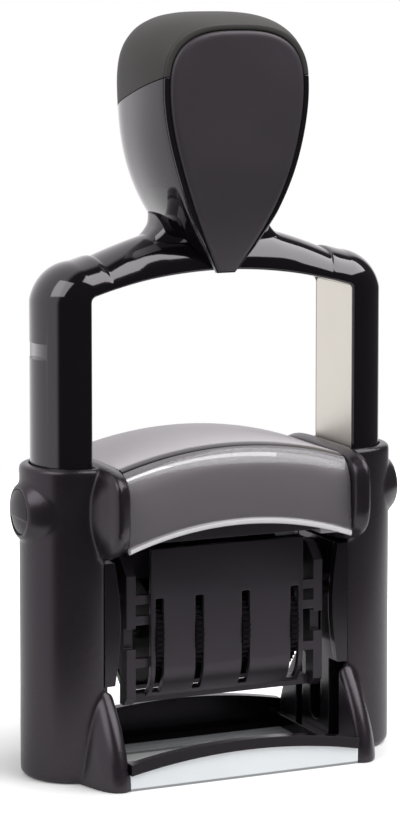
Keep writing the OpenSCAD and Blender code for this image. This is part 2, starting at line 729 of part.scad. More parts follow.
// Rings as [blend from rim to belly, share of the depth] in front, [scale, share of the depth] behind
knob_front_rings = [[0, 0.97], [0.4, 0.82], [0.75, 0.58], [0.95, 0.3], [1, 0]];
knob_back_rings = [[0.97, 0.36], [0.88, 0.6], [0.71, 0.8], [0.49, 0.93], [0.3, 0.98]];
function knob_rings() = let (
    rim = both_sides(rim_half(foot_z, rim_w)),
    belly = both_sides(belly_half())) concat(
    [[for (p = rim) [p[0], -front_at_tip - face_bulge - face_spare, p[1]]]],
    [for (r = knob_front_rings) [for (i = [0 : len(rim) - 1]) let (p = mix(rim[i], belly[i], r[0]))
        [p[0], front_y_at(p[1]) * r[1], p[1]]]],
    [for (r = knob_back_rings) [for (p = belly) let (z = mix(foot_z, p[1], (1 + r[0]) / 2))
        [p[0] * r[0], back_y_at(z) * r[1], z]]]);

// Everything behind the knob's face when that is moved forward by one distance
module behind_face(forward) {
    steps = 24;
    low_z = tip_z - 2 * tail_lip;
    along_x(-far, far) polygon(concat([[far, 2 * far], [far, low_z]],
        [for (i = [0 : steps]) let (z = mix(low_z, tip_z + bulge_h, i / steps))
            [front_y_at(z) - forward, z]],
        [[front_y_at(far) - forward, 2 * far]]));
}
module plate_outline(grow) polygon(both_sides(rim_half(tip_z - min(grow, tail_lip), grow)));
module plate_pocket() difference() {
    along_y(-far, 0) plate_outline(face_gap);
    behind_face(plate_proud - plate_t);
}
module above_seam() along_x(-far, far) polygon([[-far, seam_mid_z + far * seam_slope],
    [far, seam_mid_z - far * seam_slope], [far, 2 * far], [-far, 2 * far]]);
module knob_body() intersection() {
    skin(knob_rings());
    behind_face(0);
}

module knob_core() color("#1a171b") difference() {
    intersection() {
        knob_body();
        above_saddle(face_gap);
    }
    above_seam();
    plate_pocket();
}

module knob_cap() color("#50514d") difference() {
    intersection() {
        knob_body();
        above_seam();
    }
    plate_pocket();
}

module knob_plate() color("#3f3a40") difference() {
    intersection() {
        along_y(-far, 0) plate_outline(0);
        behind_face(plate_proud);
    }
    behind_face(plate_proud - plate_t);
}

// Date unit, drawn about its turning axis
end_y = cover_y - cover_t;
end_drop = 2.5;
end_top = face_reach - end_drop;
end_chamfer = 3;
foot_chamfer = 1.5;
foot_cut = 16.5;
foot_back = 4.8;
step_low = 12.4;
step_high = 8.6;
step_in = 1.5;
rail_t = 1.7;
rail_gap = 0.8;
rail_low = shaft_drop + wheel_r + rail_gap + rail_t;
rail_y = 5.5;
rail_back = 2.9;
end_top_y = 5;
tab_t = 1.4;
tab_h = 1.6;
tab_lap = 0.65;
tab_in = cover_w / 2 - tab_lap;
tab_drops = [3.4, 7.2, 15];
lug_r = pivot_r + 1.6;
lug_gap = 0.6;
bore_end = 0.2;
pin_end = 0.3;
shaft_end = 1;

// Half outline of an end bracket, from its top to its foot
end_half = [[end_top_y, end_top], [end_y, end_top - end_chamfer], [end_y, -step_high],
    [end_y - step_in, -step_high], [end_y - step_in, -step_low], [end_y, -step_low],
    [end_y, foot_chamfer - rail_low], [end_y - foot_chamfer, -rail_low]];

module end_outline() polygon(concat(end_half,
    [for (i = [len(end_half) - 1 : -1 : 0]) [-end_half[i][0], end_half[i][1]]]));

module rotor_frame() color("#232026") at_axle() {
    for (side = [LEFT, RIGHT]) sided(side) difference() {
        union() {
            along_x(end_in, unit_x) end_outline();
            rod_x(unit_x - eps, guide_in - lug_gap, lug_r);
            for (drop = tab_drops, front = [-1, 1])
                translate([tab_in, front * (end_y - tab_t / 2) - tab_t / 2, -drop - tab_h / 2])
                    cube([end_in - tab_in + eps, tab_t, tab_h]);
        }
        rod_x(end_in + bore_end, far, pivot_r + press_fit);
        translate([0, 0, -cam_reach]) rod_x(end_in + bore_end, far, cam_r + press_fit);
        translate([0, 0, -shaft_drop]) rod_x(0, end_in + shaft_end + face_gap, shaft_r + press_fit);
        block([0, -foot_back, -far], [far, far, -foot_cut]);
    }
    block([-end_in - eps, -rail_y, -rail_low], [end_in + eps, -rail_back, -rail_low + rail_t]);
}

cover_sink = 0.6;
cover_top = face_reach - cover_sink;
bend_shift = 1;
cover_bend = cover_y - bend_shift;
cover_flat = 15.7;
cover_end_a = 48;
slot_top = 3.6;
slot_low = 19.2;
slot_gap = 0.25;

module date_cover(front) color("#37333a") at_axle() difference() {
    along_x(-cover_w / 2, cover_w / 2) scale([front, 1]) {
        bend = arc(cover_y - cover_bend, -cover_flat, cover_bend, 0, -cover_end_a, 8);
        inner = arc(cover_y - cover_bend, -cover_flat, cover_bend - cover_t, -cover_end_a, 0, 8);
        polygon(concat([[cover_y - cover_t, cover_top], [cover_y, cover_top]], bend, inner));
    }
    for (x = wheel_x)
        block([x - wheel_t / 2 - slot_gap, -far, -slot_low], [x + wheel_t / 2 + slot_gap, far, -slot_top]);
}

module type_bridge() color("#2d2a30") at_axle() along_x(-end_in, end_in) {
    foot_z = -wheel_gap / 2;
    foot_y = nose_y + nose_r - 0.2;
    tip_r = nose_r - face_gap;
    polygon(wrap([for (y = [-1, 1]) each [[y * nose_y, nose_z, tip_r], [y * foot_y, foot_z, 0]]], 48));
}

module wheel_shaft() color("#a9abae") at_shaft() rod_x(-end_in - shaft_end, end_in + shaft_end, shaft_r);

module pivot_pin(side) color("#b8babd") sided(side) at_axle()
    rod_x(end_in + pin_end, arm_x + strip_t - face_gap, pivot_r);
module cam_pin(side) color("#b8babd") sided(side) at_axle() translate([0, 0, -cam_reach])
    rod_x(end_in + pin_end, guide_in + groove_depth - seat_gap, cam_r);

// Seven-segment digit strokes, 4 mm high
digit_w = 2;
digit_h = 4;
digit_gap = 0.9;
type_root = 0.1;
stroke = 0.55;
segments = [[0, 1, 2, 3, 4, 5], [1, 2], [0, 1, 6, 4, 3], [0, 1, 6, 2, 3], [5, 6, 1, 2], [0, 5, 6, 2, 3],
    [0, 5, 6, 2, 3, 4], [0, 1, 2], [0, 1, 2, 3, 4, 5, 6], [0, 1, 2, 3, 5, 6]];

module digit(n) for (s = segments[n]) {
    h = digit_h / 2;
    level = s == 0 ? h : s == 3 ? -h : 0;
    hand = s == 1 || s == 2 ? 1 : -1;
    low = s == 1 || s == 5 ? 0 : -h;
    if (s == 0 || s == 3 || s == 6)
        translate([-digit_w / 2, level - stroke / 2]) square([digit_w, stroke]);
    else
        translate([hand * digit_w / 2 - stroke / 2, low - stroke / 2]) square([stroke, h + stroke]);
}

module band_loop(grow) polygon(wrap([[0, -shaft_drop, drum_r + drum_gap + grow],
    [nose_y, nose_z, nose_r + grow], [-nose_y, nose_z, nose_r + grow]], 72));

module date_band(i) color("#4a464b") at_axle() {
    near = wheel_x[i] + band_side[i] * (wheel_t / 2 + band_gap);
    low = min(near, near + band_side[i] * band_w[i]);
    count = len(band_digits[i]);
    along_x(low, low + band_w[i]) difference() {
        band_loop(band_t);
        band_loop(0);
    }
    translate([low + band_w[i] / 2, 0, face_reach - type_h - type_root]) linear_extrude(type_h + type_root)
        mirror([1, 0]) for (k = [0 : count - 1])
            translate([(k - (count - 1) / 2) * (digit_w + digit_gap), 0]) digit(band_digits[i][k]);
}

tooth_depth = 0.45;
drum_lip = 0.1;
// Corners of one tooth as [share of the pitch, share of the depth]
tooth_form = [[0, 0], [0.25, 1], [0.55, 1], [0.8, 0]];

module thumb_wheel(i) color("#514c50") at_shaft() {
    rim = wheel_x[i] + band_side[i] * wheel_t / 2;
    end = rim + band_side[i] * (band_gap + band_w[i] + drum_lip);
    tooth = 360 / wheel_teeth;
    outline = [for (k = [0 : wheel_teeth - 1], c = tooth_form)
        let (a = (k + c[0]) * tooth, r = wheel_r - tooth_depth * c[1]) [r * cos(a), r * sin(a)]];
    difference() {
        union() {
            along_x(wheel_x[i] - wheel_t / 2, wheel_x[i] + wheel_t / 2) polygon(outline);
            rod_x(min(rim, end), max(rim, end), drum_r);
        }
        rod_x(-far, far, shaft_r + pin_fit);
    }
}

side_shell(LEFT);  // side_shell_left
side_shell(RIGHT);  // side_shell_right
guide_plate(LEFT);  // guide_plate_left
guide_plate(RIGHT);  // guide_plate_right
base_frame();
base_window();
pad_bridge();
index_lens();
index_card();
return_spring(LEFT);  // return_spring_left
return_spring(RIGHT);  // return_spring_right
lock_button(LEFT);  // lock_button_left
lock_button(RIGHT);  // lock_button_right
pad_tray();
ink_pad();
yoke();
steel_strip(LEFT);  // steel_strip_left
steel_strip(RIGHT);  // steel_strip_right
knob_core();
knob_cap();
knob_plate();
rotor_frame();
date_cover(-1);  // date_cover_front
date_cover(1);  // date_cover_rear
type_bridge();
wheel_shaft();
pivot_pin(LEFT);  // pivot_pin_left
pivot_pin(RIGHT);  // pivot_pin_right
cam_pin(LEFT);  // cam_pin_left
cam_pin(RIGHT);  // cam_pin_right
date_band(0);  // date_band_1
date_band(1);  // date_band_2
date_band(2);  // date_band_3
date_band(3);  // date_band_4
thumb_wheel(0);  // thumb_wheel_1
thumb_wheel(1);  // thumb_wheel_2
thumb_wheel(2);  // thumb_wheel_3
thumb_wheel(3);  // thumb_wheel_4
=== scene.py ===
import json
import math

import bmesh
import bpy
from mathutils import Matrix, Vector


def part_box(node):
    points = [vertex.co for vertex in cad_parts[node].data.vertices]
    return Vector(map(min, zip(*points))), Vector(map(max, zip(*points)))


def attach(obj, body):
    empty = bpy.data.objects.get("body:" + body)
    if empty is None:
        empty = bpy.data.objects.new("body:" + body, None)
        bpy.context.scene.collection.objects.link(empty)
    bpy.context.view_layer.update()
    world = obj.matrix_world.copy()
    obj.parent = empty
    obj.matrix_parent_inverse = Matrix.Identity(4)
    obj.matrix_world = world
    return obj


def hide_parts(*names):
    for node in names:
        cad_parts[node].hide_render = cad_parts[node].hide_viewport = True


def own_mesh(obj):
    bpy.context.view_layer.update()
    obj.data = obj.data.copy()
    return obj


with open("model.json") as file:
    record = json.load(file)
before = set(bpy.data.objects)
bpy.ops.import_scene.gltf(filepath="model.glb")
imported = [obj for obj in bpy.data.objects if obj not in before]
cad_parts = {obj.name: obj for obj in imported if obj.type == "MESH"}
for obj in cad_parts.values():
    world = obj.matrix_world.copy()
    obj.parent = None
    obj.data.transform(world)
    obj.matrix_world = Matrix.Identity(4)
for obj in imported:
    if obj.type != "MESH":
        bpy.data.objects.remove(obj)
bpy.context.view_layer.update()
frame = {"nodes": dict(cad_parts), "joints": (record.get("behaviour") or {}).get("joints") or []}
nodes = frame["nodes"]
scene = bpy.context.scene

MM = 0.001
SIDES = {"left": -1, "right": 1}
WHEEL_COUNT = 4


# Shader helpers

def new_material(name):
    material = bpy.data.materials.new(name)
    material.use_nodes = True
    tree = material.node_tree
    return material, tree, tree.nodes["Principled BSDF"]


def set_inputs(node, **values):
    for key, value in values.items():
        node.inputs[key.replace("_", " ")].default_value = value


def feed(tree, socket, value):
    """Links another node's output to a socket, or sets the socket to a plain value."""
    if isinstance(value, bpy.types.NodeSocket):
        tree.links.new(value, socket)
    else:
        socket.default_value = value


def shade(code, factor=1.0):
    """Linear colour of a hex code, times a factor."""
    channels = [int(code[i:i + 2], 16) / 255 for i in (1, 3, 5)]
    linear = [c / 12.92 if c <= 0.04045 else ((c + 0.055) / 1.055) ** 2.4 for c in channels]
    return [c * factor for c in linear] + [1.0]


def object_place(tree, stretch=(1, 1, 1), move=(0, 0, 0)):
    """Place on the object in its own metres, stretched and then moved."""
    place = tree.nodes.new("ShaderNodeTexCoord")
    mapping = tree.nodes.new("ShaderNodeMapping")
    set_inputs(mapping, Scale=stretch, Location=move)
    tree.links.new(place.outputs["Object"], mapping.inputs["Vector"])
    return mapping.outputs["Vector"]


def noise(tree, scale, detail=2, stretch=(1, 1, 1)):
    texture = tree.nodes.new("ShaderNodeTexNoise")
    set_inputs(texture, Scale=scale, Detail=detail)
    tree.links.new(object_place(tree, stretch), texture.inputs["Vector"])
    return texture.outputs["Fac"]


def spread(tree, value, low, high, start=0, end=1):
    """Maps a value that runs from start to end onto a range."""
    node = tree.nodes.new("ShaderNodeMapRange")
    set_inputs(node, From_Min=start, From_Max=end, To_Min=low, To_Max=high)
    tree.links.new(value, node.inputs["Value"])
    return node.outputs["Result"]


def ramp(tree, axis, span, low=0, high=1):
    """Value that goes from low to high over a span in millimetres along one axis of the object."""
    split = tree.nodes.new("ShaderNodeSeparateXYZ")
    tree.links.new(object_place(tree), split.inputs[0])
    return spread(tree, split.outputs[axis], low, high, span[0] * MM, span[1] * MM)


def number_of(tree, operation, first, second):
    """Number that an operation makes of two values."""
    node = tree.nodes.new("ShaderNodeMath")
    node.operation = operation
    feed(tree, node.inputs[0], first)
    feed(tree, node.inputs[1], second)
    return node.outputs[0]


def vector_value(tree, operation, *vectors):
    """Number that an operation makes of one or two vectors."""
    node = tree.nodes.new("ShaderNodeVectorMath")
    node.operation = operation
    for socket, vector in zip(node.inputs, vectors):
        feed(tree, socket, vector)
    return node.outputs["Value"]


def tint(tree, value, first, second):
    """Blends two colours by a value."""
    node = tree.nodes.new("ShaderNodeMix")
    node.data_type = "RGBA"
    feed(tree, node.inputs["A"], first)
    feed(tree, node.inputs["B"], second)
    tree.links.new(value, node.inputs["Factor"])
    return node.outputs["Result"]


def bump(tree, value, depth, normal=None):
    node = tree.nodes.new("ShaderNodeBump")
    set_inputs(node, Strength=1, Distance=depth)
    tree.links.new(value, node.inputs["Height"])
    if normal:
        tree.links.new(normal, node.inputs["Normal"])
    return node.outputs["Normal"]


# Agreement of soft and true normal below which an edge counts as fully worn
WORN_TURN = 0.8
EDGE_SAMPLES = 6


def rounded_edges(tree, radius):
    """Normal that turns smoothly over the edges, and a value that rises towards them."""
    soft = tree.nodes.new("ShaderNodeBevel")
    soft.samples = EDGE_SAMPLES
    set_inputs(soft, Radius=radius * MM)
    surface = tree.nodes.new("ShaderNodeNewGeometry")
    turn = vector_value(tree, "DOT_PRODUCT", soft.outputs["Normal"], surface.outputs["Normal"])
    return soft.outputs["Normal"], spread(tree, turn, 0, 1, 1, WORN_TURN)


# Moulded plastic: slow drift of colour and gloss, and the faint violet cast of gloss on dark plastic
DRIFT_SCALE = 90
COLOUR_DRIFT = 0.12
COAT_ROUGH = 0.05
GLOSS_CAST = (1, 0.91, 1, 1)


def moulded(name, code, rough, drift=0.05, grain=2600, depth=4e-6, edge=0.2, wear=1.6, coat=0, level=0.5):
    """Spark-eroded grain, patchy gloss, a slight drift of colour and paler worn edges."""
    material, tree, shader = new_material(name)
    patches = noise(tree, DRIFT_SCALE)
    normal, edges = rounded_edges(tree, edge)
    body = tint(tree, patches, shade(code, 1 - COLOUR_DRIFT), shade(code, 1 + COLOUR_DRIFT))
    worn = tint(tree, edges, body, shade(code, wear))
    tree.links.new(worn, shader.inputs["Base Color"])
    tree.links.new(spread(tree, patches, rough - drift, rough + drift), shader.inputs["Roughness"])
    tree.links.new(bump(tree, noise(tree, grain), depth, normal), shader.inputs["Normal"])
    set_inputs(shader, Coat_Weight=coat, Coat_Roughness=COAT_ROUGH)
    set_inputs(shader, Specular_IOR_Level=level, Specular_Tint=GLOSS_CAST)
    return material


# Rolled steel: drawing lines, drift and edges
LINE_SCALE = 900
LINE_DETAIL = 4
LINE_DEPTH = 2e-6
LINE_GLOSS = 0.1
STEEL_DRIFT_SCALE = 60
STEEL_EDGE = 0.12
STEEL_DARK = 0.94
STEEL_PALE = 1.05
STEEL_WORN = 1.15


def metal(name, code, rough, stretch):
    """Steel with long fine drawing lines."""
    material, tree, shader = new_material(name)
    lines = noise(tree, LINE_SCALE, LINE_DETAIL, stretch)
    normal, edges = rounded_edges(tree, STEEL_EDGE)
    body = tint(tree, noise(tree, STEEL_DRIFT_SCALE), shade(code, STEEL_DARK), shade(code, STEEL_PALE))
    worn = tint(tree, edges, body, shade(code, STEEL_WORN))
    tree.links.new(worn, shader.inputs["Base Color"])
    tree.links.new(spread(tree, lines, rough - LINE_GLOSS, rough + LINE_GLOSS), shader.inputs["Roughness"])
    tree.links.new(bump(tree, lines, LINE_DEPTH, normal), shader.inputs["Normal"])
    set_inputs(shader, Metallic=1)
    return material


# Clear plastic: flow waves and gloss
WAVE_SCALE = 120
WAVE_DEPTH = 1e-5
WAVE_DARK = 0.96
WAVE_PALE = 1.03
WAVE_GLOSS = 0.03
CLEAR_IOR = 1.6
CLEAR_LEVEL = 0.8


def clear(name, code, rough):
    """Clear moulded plastic with faint flow waves, still without its share of see-through."""
    material, tree, shader = new_material(name)
    waves = noise(tree, WAVE_SCALE)
    body = tint(tree, waves, shade(code, WAVE_DARK), shade(code, WAVE_PALE))
    tree.links.new(spread(tree, waves, rough, rough + WAVE_GLOSS), shader.inputs["Roughness"])
    tree.links.new(bump(tree, waves, WAVE_DEPTH), shader.inputs["Normal"])
    set_inputs(shader, IOR=CLEAR_IOR, Specular_IOR_Level=CLEAR_LEVEL)
    return material, tree, shader, body


# Base window: where its grey foot, its front panel and the painted shade along the rear of its floor plate
# end
WINDOW_FOOT_Z = (0.35, 0.5)
WINDOW_FRONT_Y = (-16, -15.4)
WINDOW_REAR_SHADE_Y = (10.4, 11)
# Front panel nearly opaque for its painted reflection of the white floor; the floor plate clearer
PANEL_ALPHA = 0.88
PLATE_ALPHA = 0.5


def window_plastic():
    """Front panel whitish and nearly opaque as a painted reflection, with a grey foot; a clearer floor plate,
    with painted shade along its rear.
    """
    # Whitish colour and high alpha of the front panel: a painted reflection of the white floor in clear
    # plastic
    material, tree, shader, body = clear("clear_window", "#e8ecef", rough=0.12)
    footed = tint(tree, ramp(tree, "Z", WINDOW_FOOT_Z, 1, 0), body, shade("#85898c"))
    # Dark, opaque strip along the rear of the floor plate: painted shade of the part's dim interior
    rear = ramp(tree, "Y", WINDOW_REAR_SHADE_Y)
    front = ramp(tree, "Y", WINDOW_FRONT_Y, PANEL_ALPHA, PLATE_ALPHA)
    tree.links.new(tint(tree, rear, footed, shade("#121013")), shader.inputs["Base Color"])
    tree.links.new(number_of(tree, "MAXIMUM", front, rear), shader.inputs["Alpha"])
    return material


# Index lens: its foot is an arc about an axis along Y; the painted highlight over the crown and the painted
# shade at the seam lie along Y
LENS_LOW_Z = 46
LENS_CUT_R = 65
LENS_CUT_Z = LENS_LOW_Z - LENS_CUT_R
LENS_BEAD_GLINT_R = (LENS_CUT_R + 0.9, LENS_CUT_R + 1.1)
LENS_CROWN_HIGHLIGHT_Y = (-14.9, -12.4)
LENS_SEAM_SHADE_Y = (-12.1, -11.9)
LENS_ALPHA = 0.45


def lens_plastic():
    """Smoky lens with a painted highlight over its crown, painted shade at the seam at its back and a painted
    glint along its bead at the foot.
    """
    material, tree, shader, body = clear("clear_lens", "#777277", rough=0.15)
    reach = vector_value(tree, "LENGTH", object_place(tree, (1, 0, 1), (0, 0, -LENS_CUT_Z * MM)))
    # Bright, opaque band along the bead at the foot: painted glint of light gathered in the edge
    bead = spread(tree, reach, 1, 0, LENS_BEAD_GLINT_R[0] * MM, LENS_BEAD_GLINT_R[1] * MM)
    # Dark, opaque band at the seam behind the crown: painted shade of the gap under the roof
    seam = ramp(tree, "Y", LENS_SEAM_SHADE_Y)
    # Paler band over the crown: painted highlight
    crown_highlight = tint(tree, ramp(tree, "Y", LENS_CROWN_HIGHLIGHT_Y), body, shade("#bab5ba"))
    seam_shaded = tint(tree, seam, crown_highlight, shade("#1c181c"))
    tree.links.new(tint(tree, bead, seam_shaded, shade("#dedbdf")), shader.inputs["Base Color"])
    solid = number_of(tree, "MAXIMUM", seam, bead)
    tree.links.new(spread(tree, solid, LENS_ALPHA, 1), shader.inputs["Alpha"])
    return material


# Finishes
GLOSSY = {"rough": 0.1, "drift": 0.03, "grain": 1200, "depth": 5e-7, "wear": 1.3}
SLEEK = {"rough": 0.2, "grain": 1800, "depth": 2e-6}
shell_black = moulded("shell_black", "#1e1a1f", rough=0.28, depth=5e-6, edge=0.3)
guide_black = moulded("guide_black", "#131114", **SLEEK)
base_black = moulded("base_black", "#100d11", level=0.25, **SLEEK)
bow_black = moulded("bow_black", "#0e0b0f", coat=0.7, **GLOSSY)
core_black = moulded("core_black", "#110e12", coat=1, **GLOSSY)
plate_grey = moulded("plate_grey", "#3a363b", rough=0.46, drift=0.04, grain=3000, depth=6e-6)
cap_soft = moulded("cap_soft", "#393a36", rough=0.6, grain=3200, depth=5e-6, edge=0.25)
roof_grey = moulded("roof_grey", "#b2aeb2", rough=0.4, grain=2800, depth=3e-6, edge=0.3, wear=1.1)
card_grey = moulded("card_grey", "#575257", rough=0.6, grain=1500, edge=0.1, wear=1.1)
button_black = moulded("button_black", "#181619", rough=0.36)
tray_black = moulded("tray_black", "#161418", rough=0.45)
unit_black = moulded("unit_black", "#262228", rough=0.36, drift=0.06, grain=2400)
wheel_grey = moulded("wheel_grey", "#121013", rough=0.5, drift=0.06, edge=0.1, level=0.06)
band_rubber = moulded("band_rubber", "#1e1b1f", rough=0.6, drift=0.08, grain=1500, depth=8e-6, edge=0.1)
ink_felt = moulded("ink_felt", "#131116", rough=0.9, grain=1400, depth=6e-5, edge=0.1)
strip_steel = metal("strip_steel", "#dedbd0", rough=0.36, stretch=(30, 30, 1))
pin_steel = metal("pin_steel", "#b9babd", rough=0.28, stretch=(1, 30, 30))
clear_lens = lens_plastic()
clear_window = window_plastic()

finishes = {
    "base_frame": base_black, "base_window": clear_window, "pad_bridge": roof_grey, "index_card": card_grey,
    "pad_tray": tray_black, "rotor_frame": unit_black, "type_bridge": unit_black, "wheel_shaft": pin_steel,
}
for side in SIDES:
    finishes[f"guide_plate_{side}"] = guide_black
    finishes[f"steel_strip_{side}"] = strip_steel
    finishes[f"pivot_pin_{side}"] = pin_steel
    finishes[f"cam_pin_{side}"] = pin_steel
for i in range(1, WHEEL_COUNT + 1):
    finishes[f"date_band_{i}"] = band_rubber
    finishes[f"thumb_wheel_{i}"] = wheel_grey
NODE_SHARP = 28


def dress(mesh, material, sharp):
    """Gives a mesh one material and smooth shading, with edges over an angle left sharp."""
    mesh.materials.clear()
    mesh.materials.append(material)
    mesh.shade_smooth()
    mesh.set_sharp_from_angle(angle=math.radians(sharp))


for name, material in finishes.items():
    dress(nodes[name].data, material, NODE_SHARP)


# Soft edges of pieces of the frame
FLAT_ANGLE = 0.2
CORNER_ANGLE = 35
EDGE_SEGMENTS = 3
SOFT_EDGES = {"base_frame": 0.4, "pad_bridge": 0.25}


def soften(node, width):
    """Rounds the sharp edges of a piece of the frame."""
    flat = nodes[node].modifiers.new("flat", "DECIMATE")
    flat.decimate_type = "DISSOLVE"
    flat.angle_limit = math.radians(FLAT_ANGLE)
    round_off = nodes[node].modifiers.new("round", "BEVEL")
    round_off.limit_method = "ANGLE"
    round_off.angle_limit = math.radians(CORNER_ANGLE)
    round_off.width = width * MM
    round_off.segments = EDGE_SEGMENTS
    round_off.harden_normals = True


for node, width in SOFT_EDGES.items():
    soften(node, width)


# Mesh helpers, all lengths in millimetres
FAR = 200
# How far a cutting tool runs past what it cuts, or into its neighbour
PAST = 1
OVERLAP = 0.01
# Length under which an edge counts as nothing
SLIVER = 1e-4


def lerp(a, b, k):
    return a + (b - a) * k


def clamp(v):
    return min(1, max(0, v))


def stretch_of(first, last, count):
    """Values from first to last in a number of equal steps, both ends included."""
    return [lerp(first, last, i / count) for i in range(count + 1)]


def signed_power(v, p):
    return math.copysign(abs(v) ** p, v)


def superellipse(a, b, power, count, low_power=None):
    """Rounded oblong; its lower half may have a power of its own."""
    points = []
    for i in range(count):
        t = 2 * math.pi * i / count
        e = 2 / (low_power if low_power and math.sin(t) < 0 else power)
        points.append((a * signed_power(math.cos(t), e), b * signed_power(math.sin(t), e)))
    return points


def circle(radius, count):
    return superellipse(radius, radius, 2, count)


def smooth_rows(rows, steps):
    """Curve through rows of numbers, with steps spans between each two."""
    last = len(rows) - 1
    fine = []
    for j in range(last):
        group = rows[max(j - 1, 0)], rows[j], rows[j + 1], rows[min(j + 2, last)]
        for i in range(steps):
            t = i / steps
            fine.append([0.5 * (2 * b + (c - a) * t + (2 * a - 5 * b + 4 * c - d) * t * t
                                + (3 * b - a - 3 * c + d) * t ** 3) for a, b, c, d in zip(*group)])
    fine.append(list(rows[last]))
    return fine


def fold(start, count):
    """Strips across one ring, from its first and last points inwards."""
    faces = []
    for i in range(count // 2):
        strip = [start + i, start + i + 1, start + count - 2 - i, start + count - 1 - i]
        face = list(dict.fromkeys(strip))
        if len(face) > 2:
            faces.append(face)
    return faces


def placed(name, data):
    thing = bpy.data.objects.new(name, data)
    scene.collection.objects.link(thing)
    return thing


def skin(name, rings):
    """Closed object over rings of equal length."""
    count = len(rings[0])
    faces = fold(0, count) + fold((len(rings) - 1) * count, count)
    for j in range(len(rings) - 1):
        for i in range(count):
            k = (i + 1) % count
            faces.append((j * count + i, j * count + k, (j + 1) * count + k, (j + 1) * count + i))
    mesh = bpy.data.meshes.new(name)
    mesh.from_pydata([[c * MM for c in point] for ring in rings for point in ring], [], faces)
    shape = bmesh.new()
    shape.from_mesh(mesh)
    bmesh.ops.recalc_face_normals(shape, faces=shape.faces)
    shape.to_mesh(mesh)
    shape.free()
    return placed(name, mesh)


def extruded(outline):
    """Solid of a (y, z) outline right across the part, its ends filled with triangles."""
    shape = bmesh.new()
    ends = []
    for x in (-FAR, FAR):
        ends.append(shape.faces.new([shape.verts.new((x * MM, y * MM, z * MM)) for y, z in outline]))
    count = len(outline)
    for i in range(count):
        k = (i + 1) % count
        shape.faces.new((ends[0].verts[i], ends[0].verts[k], ends[1].verts[k], ends[1].verts[i]))
    bmesh.ops.triangulate(shape, faces=ends)
    bmesh.ops.recalc_face_normals(shape, faces=shape.faces)
    mesh = bpy.data.meshes.new("tool")
    shape.to_mesh(mesh)
    shape.free()
    return placed("tool", mesh)


def block(low, high):
    base = [(low[0], low[1]), (high[0], low[1]), (high[0], high[1]), (low[0], high[1])]
    return skin("tool", [[(x, y, z) for x, y in base] for z in (low[2], high[2])])


def rod_x(x0, x1, radius, height):
    return skin("tool", [[(x, y, height + z) for y, z in circle(radius, count=48)] for x in (x0, x1)])


def settle(thing):
    """Applies the object's modifiers and drops faces without area."""
    graph = bpy.context.evaluated_depsgraph_get()
    mesh = bpy.data.meshes.new_from_object(thing.evaluated_get(graph))
    shape = bmesh.new()
    shape.from_mesh(mesh)
    bmesh.ops.dissolve_degenerate(shape, dist=SLIVER * MM, edges=shape.edges)
    shape.to_mesh(mesh)
    shape.free()
    thing.modifiers.clear()
    thing.data = mesh


def combine(thing, operation, tools):
    for tool in tools:
        step = thing.modifiers.new("step", "BOOLEAN")
        step.operation = operation
        step.solver = "MANIFOLD"
        step.object = tool
    settle(thing)
    for tool in tools:
        bpy.data.objects.remove(tool)


def copy_of(thing, name):
    return placed(name, thing.data.copy())


def mirrored(thing, name):
    twin = copy_of(thing, name)
    shape = bmesh.new()
    shape.from_mesh(twin.data)
    bmesh.ops.scale(shape, vec=(-1, 1, 1), verts=shape.verts)
    bmesh.ops.reverse_faces(shape, faces=shape.faces)
    shape.to_mesh(twin.data)
    shape.free()
    return twin


def stand_for(thing, node, body, material, sharp=35):
    """Puts a finer piece in the place of a node, on its body."""
    dress(thing.data, material, sharp)
    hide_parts(node)
    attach(thing, body)


# Sizes that several pieces share, taken from the frame's solids and joints where these give them
X, Y, Z = range(3)


def plain_mm(length):
    """Metres of the frame in millimetres, without float noise."""
    return round(length / MM, 3)


def lowest(node, axis):
    return plain_mm(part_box(node)[0][axis])


def highest(node, axis):
    return plain_mm(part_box(node)[1][axis])


def joint(name):
    return next(row for row in frame["joints"] if row["name"] == name)


TRAVEL = plain_mm(joint("handle_press")["range_m"][1])
AXLE_Z = plain_mm(joint("date_flip")["pos_m"][Z])
BUTTON_Z = (lowest("lock_button_right", Z) + highest("lock_button_right", Z)) / 2
BUTTON_R = highest("lock_button_right", Y)
EAR_OVER = 0.5
TOWER_H = highest("side_shell_right", Z) - EAR_OVER
ARM_LOW_Z = lowest("yoke", Z)
NECK_Z = highest("yoke", Z)
BOW_Z = highest("steel_strip_right", Z)
BOW_PEAK_Z = 91.3
ARM_X = lowest("steel_strip_right", X)
ARM_T = highest("yoke", X) - ARM_X
ARM_FLAT = 0.5
ARM_R = ARM_T - ARM_FLAT
WAIST = 0.9
BOW_HALF_DEPTH = WAIST * ARM_R


# Knob: a plate in a pocket, a gloss core below the seam and a soft cap above it
TIP_Z = lowest("knob_plate", Z)
TIP_HALF = 1.7
PLATE_H = highest("knob_plate", Z) - TIP_Z
PLATE_HALF = highest("knob_plate", X)
WIDE_SHARE = 0.753
WIDE_Z = TIP_Z + WIDE_SHARE * PLATE_H
PLATE_POWER = 1.75
PLATE_CROWN_POWER = 2.78
PLATE_GAP = 0.1
RIM_W = 1.2
RIM_AT_TIP = 0.12
RIM_TAPER_H = 12
KNOB_HALF = highest("knob_cap", X)
KNOB_TOP_Z = highest("knob_cap", Z)
KNOB_BACK = 13.7
KNOB_CROWN_POWER = 3
BELLY_H = 22.2
BELLY_Z = NECK_Z + BELLY_H
BELLY_DRAW = 33.6
BELLY_POWER = 2.55
BACK_DRAW = 4.2
BACK_POWER = 2.5
FRONT_AT_TIP = 8.1
FACE_BULGE = -lowest("knob_core", Y) - FRONT_AT_TIP
BULGE_H = 21.6
FOOT_Z = lowest("knob_core", Z)
SEAM_Z = 122.6
SEAM_SLOPE = 0.31
SEAM_GAP = 0.1
SADDLE_GAP = 0.15
SADDLE_DROP = 1
FLANK_STEPS = 48
CROWN_STEPS = 36
